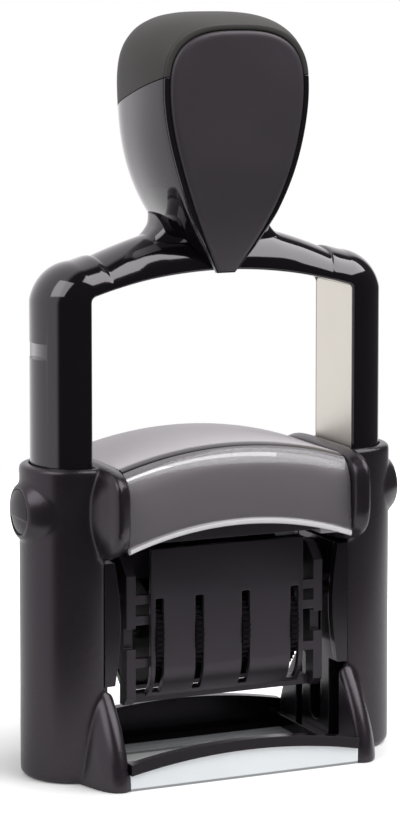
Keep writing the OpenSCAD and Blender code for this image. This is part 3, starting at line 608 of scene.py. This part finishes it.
# Front of the core as (growth of the tear-drop, depth behind the face): pocket, rounded rim, groove behind it
RIM_PROFILE = [
    (PLATE_GAP, 0.5), (PLATE_GAP, 0.26), (0.15, 0.1), (0.27, 0.02), (0.42, 0), (RIM_W - 0.3, 0),
    (RIM_W - 0.1, 0.08), (RIM_W, 0.27), (RIM_W - 0.04, 0.37), (RIM_W - 0.24, 0.42), (RIM_W - 0.24, 0.5),
    (RIM_W - 0.02, 0.55), (RIM_W + 0.05, 0.63),
]
# Front plate in the same way, from its back to its flat face
PLATE_PROFILE = [(0, 0.45), (-0.02, 0.05), (-0.1, -0.18), (-0.26, -0.37), (-0.5, -0.5), (-0.85, -0.57),
                 (-1.3, -0.6)]
# Rings between rim and belly, and between belly and back, as shares of the depth
RIM_SHARE = 0.973
FRONT_SHARES = (0.92, 0.88, 0.83, 0.77, 0.7, 0.62, 0.54, 0.45, 0.36, 0.26, 0.17, 0.08, 0)
BACK_SHARES = (0.1, 0.2, 0.3, 0.4, 0.5, 0.6, 0.68, 0.75, 0.81, 0.86, 0.9, 0.935, 0.96, 0.98)
# Saddle under the knob's foot, as shares of the bow's depth and of the neck's height over the arch
SADDLE = [(0.1, 1), (-0.22, 0.96), (-0.5, 0.8), (-0.75, 0.565), (-0.92, 0.345), (-1, 0.08), (-1.02, -0.1)]


def front_y(z):
    return -FRONT_AT_TIP - FACE_BULGE * (1 - max(0, 1 - (z - TIP_Z) / BULGE_H) ** 2)


def back_y(z):
    return KNOB_BACK - BACK_DRAW * (BELLY_Z - z) / (BELLY_Z - NECK_Z)


def plate_half(z):
    q = (z - TIP_Z) / (WIDE_Z - TIP_Z)
    return TIP_HALF + (PLATE_HALF - TIP_HALF) * (1 - max(0, 1 - q) ** PLATE_POWER)


def rim_grow(grow, z):
    """Growth of the tear-drop at one height: the rim thins out towards the tip."""
    share = min(1, RIM_AT_TIP + max(0, z - TIP_Z) / RIM_TAPER_H)
    return min(grow, PLATE_GAP + (grow - PLATE_GAP) * share)


def crown_arc(half, z, top, power):
    points = []
    for a in stretch_of(0, math.pi / 2, CROWN_STEPS):
        points.append((half * abs(math.cos(a)) ** (2 / power), z + top * math.sin(a) ** (2 / power)))
    return points


def both_sides(half):
    return [(-x, z) for x, z in half] + half[-2::-1]


def rim_outline(low, grow):
    """Tear-drop round the plate, from a height at its foot, grown by one distance."""
    flank = [(plate_half(z) + rim_grow(grow, z), z) for z in stretch_of(low, WIDE_Z, FLANK_STEPS)[:-1]]
    top = TIP_Z + PLATE_H - WIDE_Z + grow
    return both_sides(flank + crown_arc(PLATE_HALF + grow, WIDE_Z, top, PLATE_CROWN_POWER))


def belly_outline():
    flank = [(KNOB_HALF * (1 - ((BELLY_Z - z) / BELLY_DRAW) ** BELLY_POWER), z)
             for z in stretch_of(FOOT_Z, BELLY_Z, FLANK_STEPS)[:-1]]
    return both_sides(flank + crown_arc(KNOB_HALF, BELLY_Z, KNOB_TOP_Z - BELLY_Z, KNOB_CROWN_POWER))


def face_ring(grow, back):
    low = TIP_Z - min(grow, TIP_Z - FOOT_Z)
    return [(x, front_y(z) + back, z) for x, z in rim_outline(low, grow)]


def knob_body():
    rim = rim_outline(FOOT_Z, RIM_W)
    belly = belly_outline()
    rings = [face_ring(grow, back) for grow, back in RIM_PROFILE]
    for share in FRONT_SHARES:
        blend = 1 - (share / RIM_SHARE) ** BELLY_POWER
        ring = [(lerp(a[0], b[0], blend), lerp(a[1], b[1], blend)) for a, b in zip(rim, belly)]
        rings.append([(x, front_y(z) * share, z) for x, z in ring])
    for share in BACK_SHARES:
        scale = (1 - share ** BACK_POWER) ** (1 / BACK_POWER)
        ring = [(x * scale, lerp(FOOT_Z, z, (1 + scale) / 2)) for x, z in belly]
        rings.append([(x, back_y(z) * share, z) for x, z in ring])
    return skin("knob_core_fine", rings)


def over_saddle(rise):
    """Everything over the saddle when that is moved up by one distance."""
    curve = [(y * BOW_HALF_DEPTH, lerp(BOW_PEAK_Z, NECK_Z, k) + rise)
             for y, k in smooth_rows(SADDLE, steps=5)]
    low = BOW_PEAK_Z - SADDLE_DROP + rise
    return [(FAR, 2 * FAR), (FAR, NECK_Z + rise)] + curve + [(-FAR, low), (-FAR, 2 * FAR)]


def over_seam(rise):
    """Everything over the sloped seam when that is moved up by one distance."""
    low = SEAM_Z + rise
    return [(-FAR, low + FAR * SEAM_SLOPE), (FAR, low - FAR * SEAM_SLOPE), (FAR, 2 * FAR), (-FAR, 2 * FAR)]


core = knob_body()
cap = copy_of(core, "knob_cap_fine")
combine(cap, "INTERSECT", [extruded(over_seam(SEAM_GAP))])
combine(core, "INTERSECT", [extruded(over_saddle(-SADDLE_GAP))])
combine(core, "DIFFERENCE", [extruded(over_seam(-SEAM_GAP))])
plate = skin("knob_plate_fine", [face_ring(grow, back) for grow, back in PLATE_PROFILE])
stand_for(core, "knob_core", "handle", core_black)
stand_for(cap, "knob_cap", "handle", cap_soft)
stand_for(plate, "knob_plate", "handle", plate_grey, sharp=60)


# Handle bow: one section swept up an arm, round the shoulder, over the arch and down again
BOW_RISE = BOW_PEAK_Z - BOW_Z
BOW_ARC_R = (ARM_X ** 2 + BOW_RISE ** 2) / (2 * BOW_RISE)
BOW_ARC_Z = BOW_PEAK_Z - BOW_ARC_R
CORNER_R = 1.2
BEND_X = ARM_X - CORNER_R
BEND_Z = BOW_ARC_Z + math.sqrt((BOW_ARC_R - CORNER_R) ** 2 - BEND_X ** 2)
BEND_A = math.atan2(BEND_Z - BOW_ARC_Z, BEND_X)
BOW_MID_T = 7.3
BOW_END_T = 5.6
SHOULDER_T = 6.1
STEP_X = 21.7
WAIST_X = 15
ARCH_STEPS = 24
BEND_STEPS = 20
ARM_STEPS = 48
# Rounded inner corner of an arm: reach from the inner face, depth
ARM_CORNER = [(0, 7.3), (0.05, 7.58), (0.18, 7.8), (0.38, 7.95)]
# Lip where the bow enters a shoulder: distance along the bow, share of the step
LIP = [(-1.3, 0), (-0.6, -0.05), (-0.25, -0.06), (-0.06, 0.06), (0, 0.3), (0.1, 0.55), (0.35, 0.8),
       (0.8, 0.95), (1.4, 1)]
# Neck: height over its foot, half width, half depth
NECK_X = 11
NECK_H = 2.8
NECK_POWER = 3
NECK_ROWS = [(-2.6, NECK_X + 4.6, 5), (-1.3, NECK_X + 2.1, 5.7), (0, NECK_X + 0.7, 6.4), (1.2, NECK_X, 6.9),
             (NECK_H + 0.5, NECK_X - 0.1, 7.1)]
# Slot for the steel strip, notch in the arm's outer face and hole for the lock button's stem
STRIP_OPEN = 1
STRIP_BACK_GAP = 0.02
STRIP_SIDE_GAP = 0.05
STRIP_DEEP = highest("steel_strip_right", X) - ARM_X + STRIP_BACK_GAP
STRIP_HALF_Y = highest("steel_strip_right", Y) + STRIP_SIDE_GAP
NOTCH_DEEP = 1.2
NOTCH_HALF_H = 1.45
LOCK_HOLE_R = 1.8


def bow_t(x):
    return lerp(BOW_MID_T, BOW_END_T, clamp((x - NECK_X) / (STEP_X - NECK_X)))


def arm_section():
    """Half-round section as (reach from the inner face, depth), with rounded inner corners."""
    arc = [(ARM_FLAT + ARM_R * math.cos(a), ARM_R * math.sin(a))
           for a in stretch_of(math.pi / 2, -math.pi / 2, ARM_STEPS)]
    return ARM_CORNER + arc + [(u, -v) for u, v in reversed(ARM_CORNER)]


def bow_half():
    """Stations from the middle to the foot of the right arm: place, angle, thickness, share of the depth."""
    places = [(x, 0) for x in stretch_of(0, STEP_X + LIP[0][0], ARCH_STEPS)[:-1]]
    places += [(STEP_X + run, share) for run, share in LIP]
    stations = []
    for x, share in places:
        a = math.acos(x / BOW_ARC_R)
        depth = lerp(WAIST, 1, max(0, (x - WAIST_X) / (BEND_X - WAIST_X)))
        stations.append((x, BOW_ARC_Z + BOW_ARC_R * math.sin(a), a, lerp(bow_t(x), SHOULDER_T, share), depth))
    for k in stretch_of(0, 1, BEND_STEPS):
        a = BEND_A * (1 - k)
        stations.append((BEND_X + CORNER_R * math.cos(a), BEND_Z + CORNER_R * math.sin(a), a,
                         lerp(SHOULDER_T, ARM_T, k), 1))
    stations.append((ARM_X, ARM_LOW_Z, 0, ARM_T, 1))
    return stations


def bow_ring(station):
    x, z, a, thick, depth = station
    ring = []
    for reach, y in arm_section():
        out = reach * thick / ARM_T
        ring.append((x + out * math.cos(a), y * depth, z + out * math.sin(a)))
    return ring


def neck():
    rings = []
    for rise, half_w, half_d in smooth_rows(NECK_ROWS, steps=5):
        section = superellipse(half_w, half_d, NECK_POWER, count=96)
        rings.append([(x, y, NECK_Z - NECK_H + rise) for x, y in section])
    stem = skin("tool", rings)
    combine(stem, "DIFFERENCE", [extruded(over_saddle(0))])
    return stem


def yoke():
    right = bow_half()
    left = [(-x, z, math.pi - a, thick, depth) for x, z, a, thick, depth in right[:0:-1]]
    bow = skin("yoke_fine", [bow_ring(s) for s in left + right])
    combine(bow, "UNION", [neck()])
    notch_z = BUTTON_Z + TRAVEL
    tools = []
    for side in SIDES.values():
        strip = sorted((side * (ARM_X - STRIP_OPEN), side * (ARM_X + STRIP_DEEP)))
        notch = sorted((side * (ARM_X + ARM_T - NOTCH_DEEP), side * FAR))
        tools.append(block((strip[0], -STRIP_HALF_Y, 0), (strip[1], STRIP_HALF_Y, BOW_Z)))
        tools.append(block((notch[0], -FAR, notch_z - NOTCH_HALF_H), (notch[1], FAR, notch_z + NOTCH_HALF_H)))
        tools.append(rod_x(notch[0], notch[1], LOCK_HOLE_R, BUTTON_Z))
    combine(bow, "DIFFERENCE", tools)
    return bow


stand_for(yoke(), "yoke", "handle", bow_black)


# Side shells: tower, ears, foot fins and button boss run into one skin
TOWER_CX = 27
TOWER_R = 9.5
TOWER_OUT = TOWER_CX + TOWER_R
TOWER_FOOT_R = 1.3
TOWER_RIM_R = 0.9
TOWER_ROUND_STEPS = 6
TOWER_STEPS = 64
CHANNEL_R = 8.3
SHELL_SEAM_X = 24.4
SEAM_CLEAR = 0.2
CHEEK_IN = lowest("side_shell_right", X)
GUIDE_OUT = highest("guide_plate_right", X)
GUIDE_TOP = highest("guide_plate_right", Z)
GUIDE_HALF_Y = 9.34
EAR_Y = 17
EAR_H = 17.5
EAR_MID_Z = highest("side_shell_right", Z) - EAR_H / 2
EAR_POWER = 4.5
EAR_LOW_POWER = 3
FOOT_IN = 22.8
FOOT_Y = highest("side_shell_right", Y)
FOOT_H = 16.5
FIN_ROOT_Y = 9
FIN_POWER = 1.8
FIN_STEPS = 32
FLOOR_T = 2.2
BUTTON_GAP = 0.1
BUTTON_SEAT = 1.1
STEM_HOLE_R = 1.2
BOSS_R = 7.5
BOSS_WALL = 0.6
BOSS_ROOT = 3.9
BOSS_PROUD = 0.8
BOSS_POWER = 1.5
BOSS_STEPS = 12
SHELL_VOXEL = 0.3
MELT_ROUNDS = 6
MELT_FACTOR = 0.5
# Ear: distance outwards, shares of its depth and of its height
EAR_ROWS = [(0, 0.945, 0.95), (0.8, 0.98, 0.98), (2.7, 1, 1), (4, 0.78, 0.78), (5.4, 0.53, 0.37)]
# Foot fins: distance outwards, share of their size
FOOT_ROWS = [(0, 0.93), (0.6, 0.98), (2, 1), (3.4, 0.9), (4.7, 0.66), (5.7, 0.32), (6.4, 0.05)]


def open_arc(centre_x, radius, inner_x):
    """Part of a circle outside one plane across X."""
    half_a = math.acos((inner_x - centre_x) / radius)
    return [(centre_x + radius * math.cos(a), radius * math.sin(a))
            for a in stretch_of(half_a, -half_a, TOWER_STEPS)]


def tower():
    quarter = stretch_of(0, math.pi / 2, TOWER_ROUND_STEPS)
    profile = [(TOWER_FOOT_R * (1 - math.sin(a)), TOWER_FOOT_R * (1 - math.cos(a))) for a in quarter]
    profile += [(TOWER_RIM_R * (1 - math.cos(a)), TOWER_H - TOWER_RIM_R * (1 - math.sin(a))) for a in quarter]
    return skin("tool", [[(x, y, z) for x, y in open_arc(TOWER_CX, TOWER_R - inset, SHELL_SEAM_X)]
                         for inset, z in profile])


def ears():
    rings = []
    for run, reach, rise in smooth_rows(EAR_ROWS, steps=6):
        section = superellipse(EAR_Y * reach, EAR_H / 2 * rise, EAR_POWER, count=96, low_power=EAR_LOW_POWER)
        rings.append([(CHEEK_IN + run, y, EAR_MID_Z + z) for y, z in section])
    return skin("tool", rings)


def foot():
    rings = []
    for run, share in smooth_rows(FOOT_ROWS, steps=4):
        edge = [(FIN_ROOT_Y + (FOOT_Y - FIN_ROOT_Y) * share * (1 - u ** FIN_POWER), FOOT_H * share * u)
                for u in stretch_of(0, 1, FIN_STEPS)]
        outline = edge + [(-y, z) for y, z in reversed(edge)]
        rings.append([(FOOT_IN + run, y, z) for y, z in outline])
    return skin("tool", rings)


def boss():
    rings = []
    for u in stretch_of(0, 1, BOSS_STEPS):
        section = circle(lerp(BOSS_R, BUTTON_R + BOSS_WALL, u ** BOSS_POWER), count=64)
        rings.append([(TOWER_OUT + lerp(-BOSS_ROOT, BOSS_PROUD, u), y, BUTTON_Z + z) for y, z in section])
    return skin("tool", rings)


def lane(inner_x, low, high):
    """Part of the round channel for the arm, outside one plane."""
    section = open_arc(ARM_X + ARM_FLAT, CHANNEL_R, inner_x)
    return skin("tool", [[(x, y, z) for x, y in section] for z in (low, high)])


def side_shell():
    shell = tower()
    shell.name = "side_shell_right_fine"
    combine(shell, "UNION", [ears(), foot(), boss()])
    melt = shell.modifiers.new("melt", "REMESH")
    melt.mode = "VOXEL"
    melt.voxel_size = SHELL_VOXEL * MM
    relax = shell.modifiers.new("relax", "SMOOTH")
    relax.factor = MELT_FACTOR
    relax.iterations = MELT_ROUNDS
    settle(shell)
    inside = CHEEK_IN - PAST
    combine(shell, "DIFFERENCE", [
        lane(SHELL_SEAM_X - SEAM_CLEAR, FLOOR_T, GUIDE_TOP + OVERLAP),
        lane(GUIDE_OUT, GUIDE_TOP, TOWER_H + PAST),
        block((inside, -GUIDE_HALF_Y, FOOT_H), (SHELL_SEAM_X, GUIDE_HALF_Y, GUIDE_TOP + SEAM_CLEAR)),
        block((inside, -FIN_ROOT_Y, -PAST), (SHELL_SEAM_X, FIN_ROOT_Y, FOOT_H + PAST)),
        rod_x(TOWER_OUT - BUTTON_SEAT, FAR, BUTTON_R + BUTTON_GAP, BUTTON_Z),
        rod_x(ARM_X + ARM_FLAT, FAR, STEM_HOLE_R, BUTTON_Z)])
    return shell


right_shell = side_shell()
left_shell = mirrored(right_shell, "side_shell_left_fine")
stand_for(right_shell, "side_shell_right", "frame", shell_black, sharp=40)
stand_for(left_shell, "side_shell_left", "frame", shell_black, sharp=40)


# Index lens: a rounded crown over a sloped front, with a bead along its foot
ARCH_R = 72
ARCH_Z = highest("pad_bridge", Z) - ARCH_R
LENS_X = highest("index_lens", X)
LENS_SINK = 0.05
LENS_R = ARCH_R - LENS_SINK
LENS_T = 1
LENS_CROWN_H = 5.5
LENS_CROWN_D = 4.5
LENS_BEND_R = LENS_R - LENS_CROWN_H
LENS_FRONT_Y = 14.7
LENS_SLOPE = 0.072
LENS_STEPS = 72
FACE_STEPS = 8
BEND_ROUND_STEPS = 24
# Bead: height over the foot, share of the wall
BEAD = [(0, 0.5), (0.05, 0.28), (0.2, 0.06), (0.45, -0.14), (0.75, -0.2), (1.05, -0.12), (1.25, 0.02),
        (1.35, 0.05), (1.6, 0)]


def lens_layer(x, inner):
    """Points from the foot to the back of the crown, on the outer or the inner face."""
    low = math.hypot(x, LENS_CUT_Z + math.sqrt(LENS_CUT_R ** 2 - x ** 2) - ARCH_Z)
    face = [(rise, 0) for rise in stretch_of(BEAD[-1][0], LENS_BEND_R - low, FACE_STEPS)[1:]]
    section = []
    for rise, share in BEAD + face:
        depth = LENS_T * (1 - max(0, share) if inner else share)
        section.append((low + rise, LENS_FRONT_Y + LENS_SLOPE * (LENS_BEND_R - low - rise) - depth))
    wall = LENS_T if inner else 0
    for a in stretch_of(0, math.pi / 2, BEND_ROUND_STEPS)[1:]:
        section.append((LENS_BEND_R + (LENS_CROWN_H - wall) * math.sin(a),
                        LENS_FRONT_Y - LENS_CROWN_D + (LENS_CROWN_D - wall) * math.cos(a)))
    return [(x, -y, ARCH_Z + math.sqrt(r * r - x * x)) for r, y in section]


def index_lens():
    """The two faces meet in one point of each ring, at the foot."""
    return skin("index_lens_fine", [lens_layer(x, False) + lens_layer(x, True)[:0:-1]
                                    for x in stretch_of(-LENS_X, LENS_X, LENS_STEPS)])


stand_for(index_lens(), "index_lens", "frame", clear_lens, sharp=50)


# Date covers: thin walls with a rolled foot and a round-ended slot over each setting wheel
COVER_X = highest("date_cover_rear", X)
WHEEL_X = [2 * COVER_X * share for share in (-0.446, -0.187, 0.118, 0.443)]
COVER_Y = highest("date_cover_rear", Y)
COVER_T = 1
COVER_TOP = highest("date_cover_rear", Z) - AXLE_Z
COVER_BEND_R = 8
COVER_FLAT = 15.7
COVER_END = {"front": 48, "rear": 66}
COVER_STEPS = 24
# Rounded top edge of a cover: distance from its face, drop below its top
COVER_EDGE = [(0.3, 0), (0.1, 0.08), (0, 0.3)]
SLOT_TOP = 3.6
SLOT_LOW = {"front": 20.4, "rear": 17}
SLOT_HALF = 0.85
SLOT_END_ROUND = 0.5
SLOT_POWER = 4


def cover_outline(name):
    outer = [(COVER_Y - inset, COVER_TOP - drop) for inset, drop in COVER_EDGE]
    inner = [(COVER_Y - COVER_T + inset, COVER_TOP - drop) for inset, drop in COVER_EDGE]
    for a in stretch_of(0, math.radians(COVER_END[name]), COVER_STEPS):
        for wall, radius in ((outer, COVER_BEND_R), (inner, COVER_BEND_R - COVER_T)):
            wall.append((COVER_Y - COVER_BEND_R + radius * math.cos(a), -COVER_FLAT - radius * math.sin(a)))
    return outer + inner[::-1]


def slot_tool(name, x, sign):
    section = []
    for u, v in superellipse(SLOT_HALF, SLOT_HALF, SLOT_POWER, count=32):
        end = SLOT_LOW[name] if v < 0 else SLOT_TOP
        section.append((x + u, AXLE_Z - end + v * SLOT_END_ROUND))
    return skin("tool", [[(u, y, v) for u, v in section] for y in (0, sign * FAR)])


def date_cover(name, sign):
    outline = cover_outline(name)
    cover = skin(f"date_cover_{name}_fine", [[(x, sign * y, AXLE_Z + z) for y, z in outline]
                                             for x in (-COVER_X, COVER_X)])
    combine(cover, "DIFFERENCE", [slot_tool(name, x, sign) for x in WHEEL_X])
    return cover


for name, sign in (("front", -1), ("rear", 1)):
    stand_for(date_cover(name, sign), f"date_cover_{name}", "date_unit", unit_black, sharp=30)


# Lock buttons: a domed face with a crease across it, on a stem
BUTTON_BACK = 36.7
BUTTON_RIM = highest("side_shell_right", X)
BUTTON_TIP = highest("lock_button_right", X)
BUTTON_EDGE = 0.4
BUTTON_INSET = 0.03
DOME_POWER = 2.4
DOME_RINGS = 41
CREASE_LOW = 0.5
CREASE_CURVE = 0.04
CREASE_W = 0.3
CREASE_DEEP = 0.24
STEM_TIP = lowest("lock_button_right", X)
STEM_R = 1.1


def button_rise(y, z):
    """Height of the domed face over its rim; the part below the crease lies deeper."""
    dome = (BUTTON_TIP - BUTTON_RIM) * (1 - (math.hypot(y, z) / BUTTON_R) ** DOME_POWER)
    below = clamp((-CREASE_LOW - CREASE_CURVE * y * y - z) / CREASE_W)
    return dome - CREASE_DEEP * below * below * (3 - 2 * below)


def lock_button():
    stations = [(STEM_TIP, STEM_R), (BUTTON_BACK, STEM_R), (BUTTON_BACK, BUTTON_R),
                (BUTTON_RIM - BUTTON_EDGE, BUTTON_R)]
    rings = [[(x, y, BUTTON_Z + z) for y, z in circle(r, count=96)] for x, r in stations]
    for i in range(DOME_RINGS):
        ring = circle((BUTTON_R - BUTTON_INSET) * (1 - i / (DOME_RINGS - 0.5)), count=96)
        rings.append([(BUTTON_RIM + button_rise(y, z), y, BUTTON_Z + z) for y, z in ring])
    return skin("lock_button_right_fine", rings)


right_button = lock_button()
left_button = mirrored(right_button, "lock_button_left_fine")
stand_for(right_button, "lock_button_right", "button_right", button_black, sharp=50)
stand_for(left_button, "lock_button_left", "button_left", button_black, sharp=50)


# Return springs, coiled from the floor of the shell up to the foot of the arm
WIRE_R = 0.4
COIL_R = highest("return_spring_right", Y) - WIRE_R
COIL_TURNS = 8
TURN_STEPS = 32
WIRE_STEPS = 12
SPRING_X = (lowest("return_spring_right", X) + highest("return_spring_right", X)) / 2
SPRING_GAP = 0.05
SPRING_LOW = FLOOR_T + SPRING_GAP + WIRE_R
SPRING_HIGH = ARM_LOW_Z - SPRING_GAP - WIRE_R


def return_spring(name, centre_x):
    pitch = (SPRING_HIGH - SPRING_LOW) / COIL_TURNS
    slope = pitch / (2 * math.pi * COIL_R)
    rings = []
    for i in range(COIL_TURNS * TURN_STEPS + 1):
        a = 2 * math.pi * i / TURN_STEPS
        centre = Vector((COIL_R * math.cos(a), COIL_R * math.sin(a), SPRING_LOW + pitch * i / TURN_STEPS))
        out = Vector((math.cos(a), math.sin(a), 0))
        up = out.cross(Vector((-math.sin(a), math.cos(a), slope)).normalized())
        points = [centre + u * out + v * up for u, v in circle(WIRE_R, WIRE_STEPS)]
        rings.append([(p.x + centre_x, p.y, p.z) for p in points])
    return skin(name, rings)


for side, sign in SIDES.items():
    spring = return_spring(f"return_spring_{side}_fine", sign * SPRING_X)
    stand_for(spring, f"return_spring_{side}", "frame", pin_steel, sharp=80)
    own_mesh(spring)


# Ink pad: crowned felt with soft edges
PAD_SIDE_GAP = 0.05
PAD_HALF_X = highest("ink_pad", X) - PAD_SIDE_GAP
PAD_HALF_Y = highest("ink_pad", Y)
PAD_Z = lowest("ink_pad", Z)
PAD_T = highest("ink_pad", Z) - PAD_Z
PAD_POWER = 14
# Inset from the sides, height over the pad's foot
PAD_ROWS = [(3, 0.02), (1.6, 0.05), (0.7, 0.16), (0.2, 0.45), (0, 0.9), (0, PAD_T - 0.5),
            (0.15, PAD_T - 0.15), (0.5, PAD_T)]


def ink_pad():
    rings = []
    for inset, rise in smooth_rows(PAD_ROWS, steps=3):
        section = superellipse(PAD_HALF_X - inset, PAD_HALF_Y - inset, PAD_POWER, count=120)
        rings.append([(x, y, PAD_Z + rise) for x, y in section])
    return skin("ink_pad_soft", rings)


pad = ink_pad()
stand_for(pad, "ink_pad", "pad_drawer", ink_felt, sharp=60)


# Floor, in metres: a disc under and behind the part, with its shadow near by and plain white farther out
FLOOR_R = 0.2
FLOOR_X = 0.06
FLOOR_Y = 0.1
SHADOW_R = 0.03
GLOW_R = 0.09
FLOOR_WHITE = (0.9, 0.9, 0.9, 1)


def floor():
    mesh = bpy.data.meshes.new("floor")
    edge = [(FLOOR_X + x, FLOOR_Y + y, 0) for x, y in circle(FLOOR_R, count=96)]
    mesh.from_pydata(edge, [], [range(len(edge))])
    plane = placed("floor", mesh)
    material, tree, shader = new_material("floor_white")
    set_inputs(shader, Base_Color=FLOOR_WHITE, Roughness=0.6, Specular_IOR_Level=0.2)
    away = spread(tree, vector_value(tree, "LENGTH", object_place(tree)), 0, 1, SHADOW_R, GLOW_R)
    path = tree.nodes.new("ShaderNodeLightPath")
    glow = tree.nodes.new("ShaderNodeEmission")
    both = tree.nodes.new("ShaderNodeAddShader")
    lift = number_of(tree, "MULTIPLY", path.outputs["Is Camera Ray"], away)
    tree.links.new(lift, glow.inputs["Strength"])
    tree.links.new(shader.outputs[0], both.inputs[0])
    tree.links.new(glow.outputs[0], both.inputs[1])
    tree.links.new(both.outputs[0], tree.nodes["Material Output"].inputs["Surface"])
    mesh.materials.append(material)


# World: gloss sees one bright side of the room and dimness elsewhere, in a faint violet cast
PANEL_SIDE = Vector((-0.545, 0.839, 0))
PANEL_EDGE = (0.02, 0.22)
STUDIO_TINT = (1, 0.97, 1, 1)
WHITE = (1, 1, 1, 1)
AMBIENT = 0.33
DIM = 0.06


def studio_world():
    """White to the camera and through clear pieces, even soft light on the part, and a room for its gloss."""
    world = bpy.data.worlds.new("studio")
    scene.world = world
    world.use_nodes = True
    tree = world.node_tree

    def background(colour, strength):
        node = tree.nodes.new("ShaderNodeBackground")
        set_inputs(node, Color=colour, Strength=strength)
        return node

    def blend(factor, first, second):
        node = tree.nodes.new("ShaderNodeMixShader")
        tree.links.new(factor, node.inputs["Fac"])
        tree.links.new(first.outputs[0], node.inputs[1])
        tree.links.new(second.outputs[0], node.inputs[2])
        return node

    place = tree.nodes.new("ShaderNodeTexCoord")
    room = tree.nodes.new("ShaderNodeMapRange")
    room.interpolation_type = "SMOOTHSTEP"
    set_inputs(room, From_Min=PANEL_EDGE[0], From_Max=PANEL_EDGE[1])
    facing = vector_value(tree, "DOT_PRODUCT", place.outputs["Generated"], PANEL_SIDE)
    tree.links.new(facing, room.inputs["Value"])
    path = tree.nodes.new("ShaderNodeLightPath")
    white = tree.nodes["Background"]
    set_inputs(white, Color=WHITE, Strength=1)
    gloss = blend(room.outputs["Result"], background(STUDIO_TINT, DIM), background(STUDIO_TINT, 1))
    lit = blend(path.outputs["Is Glossy Ray"], background(WHITE, AMBIENT), gloss)
    clear_lit = blend(path.outputs["Is Transmission Ray"], lit, white)
    shown = blend(path.outputs["Is Camera Ray"], clear_lit, white)
    tree.links.new(shown.outputs[0], tree.nodes["World Output"].inputs["Surface"])


# Lamps: two softboxes aimed at the middle of the part
MIDDLE = Vector((0, 0, 0.07))


def softbox(name, place, width, height, power):
    light = bpy.data.lights.new(name, "AREA")
    light.shape = "RECTANGLE"
    light.size = width
    light.size_y = height
    light.energy = power
    lamp = placed(name, light)
    lamp.location = place
    lamp.rotation_mode = "QUATERNION"
    lamp.rotation_quaternion = (MIDDLE - Vector(place)).to_track_quat("-Z", "Y")


floor()
studio_world()
softbox("left_box", (-0.75, -0.25, 0.75), width=0.7, height=0.7, power=4.5)
softbox("right_box", (0.55, -0.32, 0.92), width=1.2, height=0.95, power=15)


# Camera, fitted to points of the photograph
CAMERA_AZIMUTH = math.radians(24.5)
CAMERA_PITCH = math.radians(5.49)
CAMERA_DISTANCE = 542.2 * MM
AIM_HEIGHT = 95.44 * MM
AIM_SIDE = -1.39 * MM
FOCAL_PX = 2963.3
FRAME_SHIFT = -0.2
FRAME_H_PX = 813
SENSOR_MM = 36


def camera():
    data = bpy.data.cameras.new("camera")
    data.sensor_width = SENSOR_MM
    data.lens = FOCAL_PX / FRAME_H_PX * SENSOR_MM
    data.shift_y = FRAME_SHIFT
    eye = placed("camera", data)
    look = Vector((math.sin(CAMERA_AZIMUTH) * math.cos(CAMERA_PITCH),
                   math.cos(CAMERA_AZIMUTH) * math.cos(CAMERA_PITCH), -math.sin(CAMERA_PITCH)))
    right = Vector((math.cos(CAMERA_AZIMUTH), -math.sin(CAMERA_AZIMUTH), 0))
    eye.location = Vector((0, 0, AIM_HEIGHT)) + right * AIM_SIDE - look * CAMERA_DISTANCE
    eye.rotation_mode = "QUATERNION"
    eye.rotation_quaternion = look.to_track_quat("-Z", "Y")
    scene.camera = eye


camera()
scene.view_settings.view_transform = "Standard"
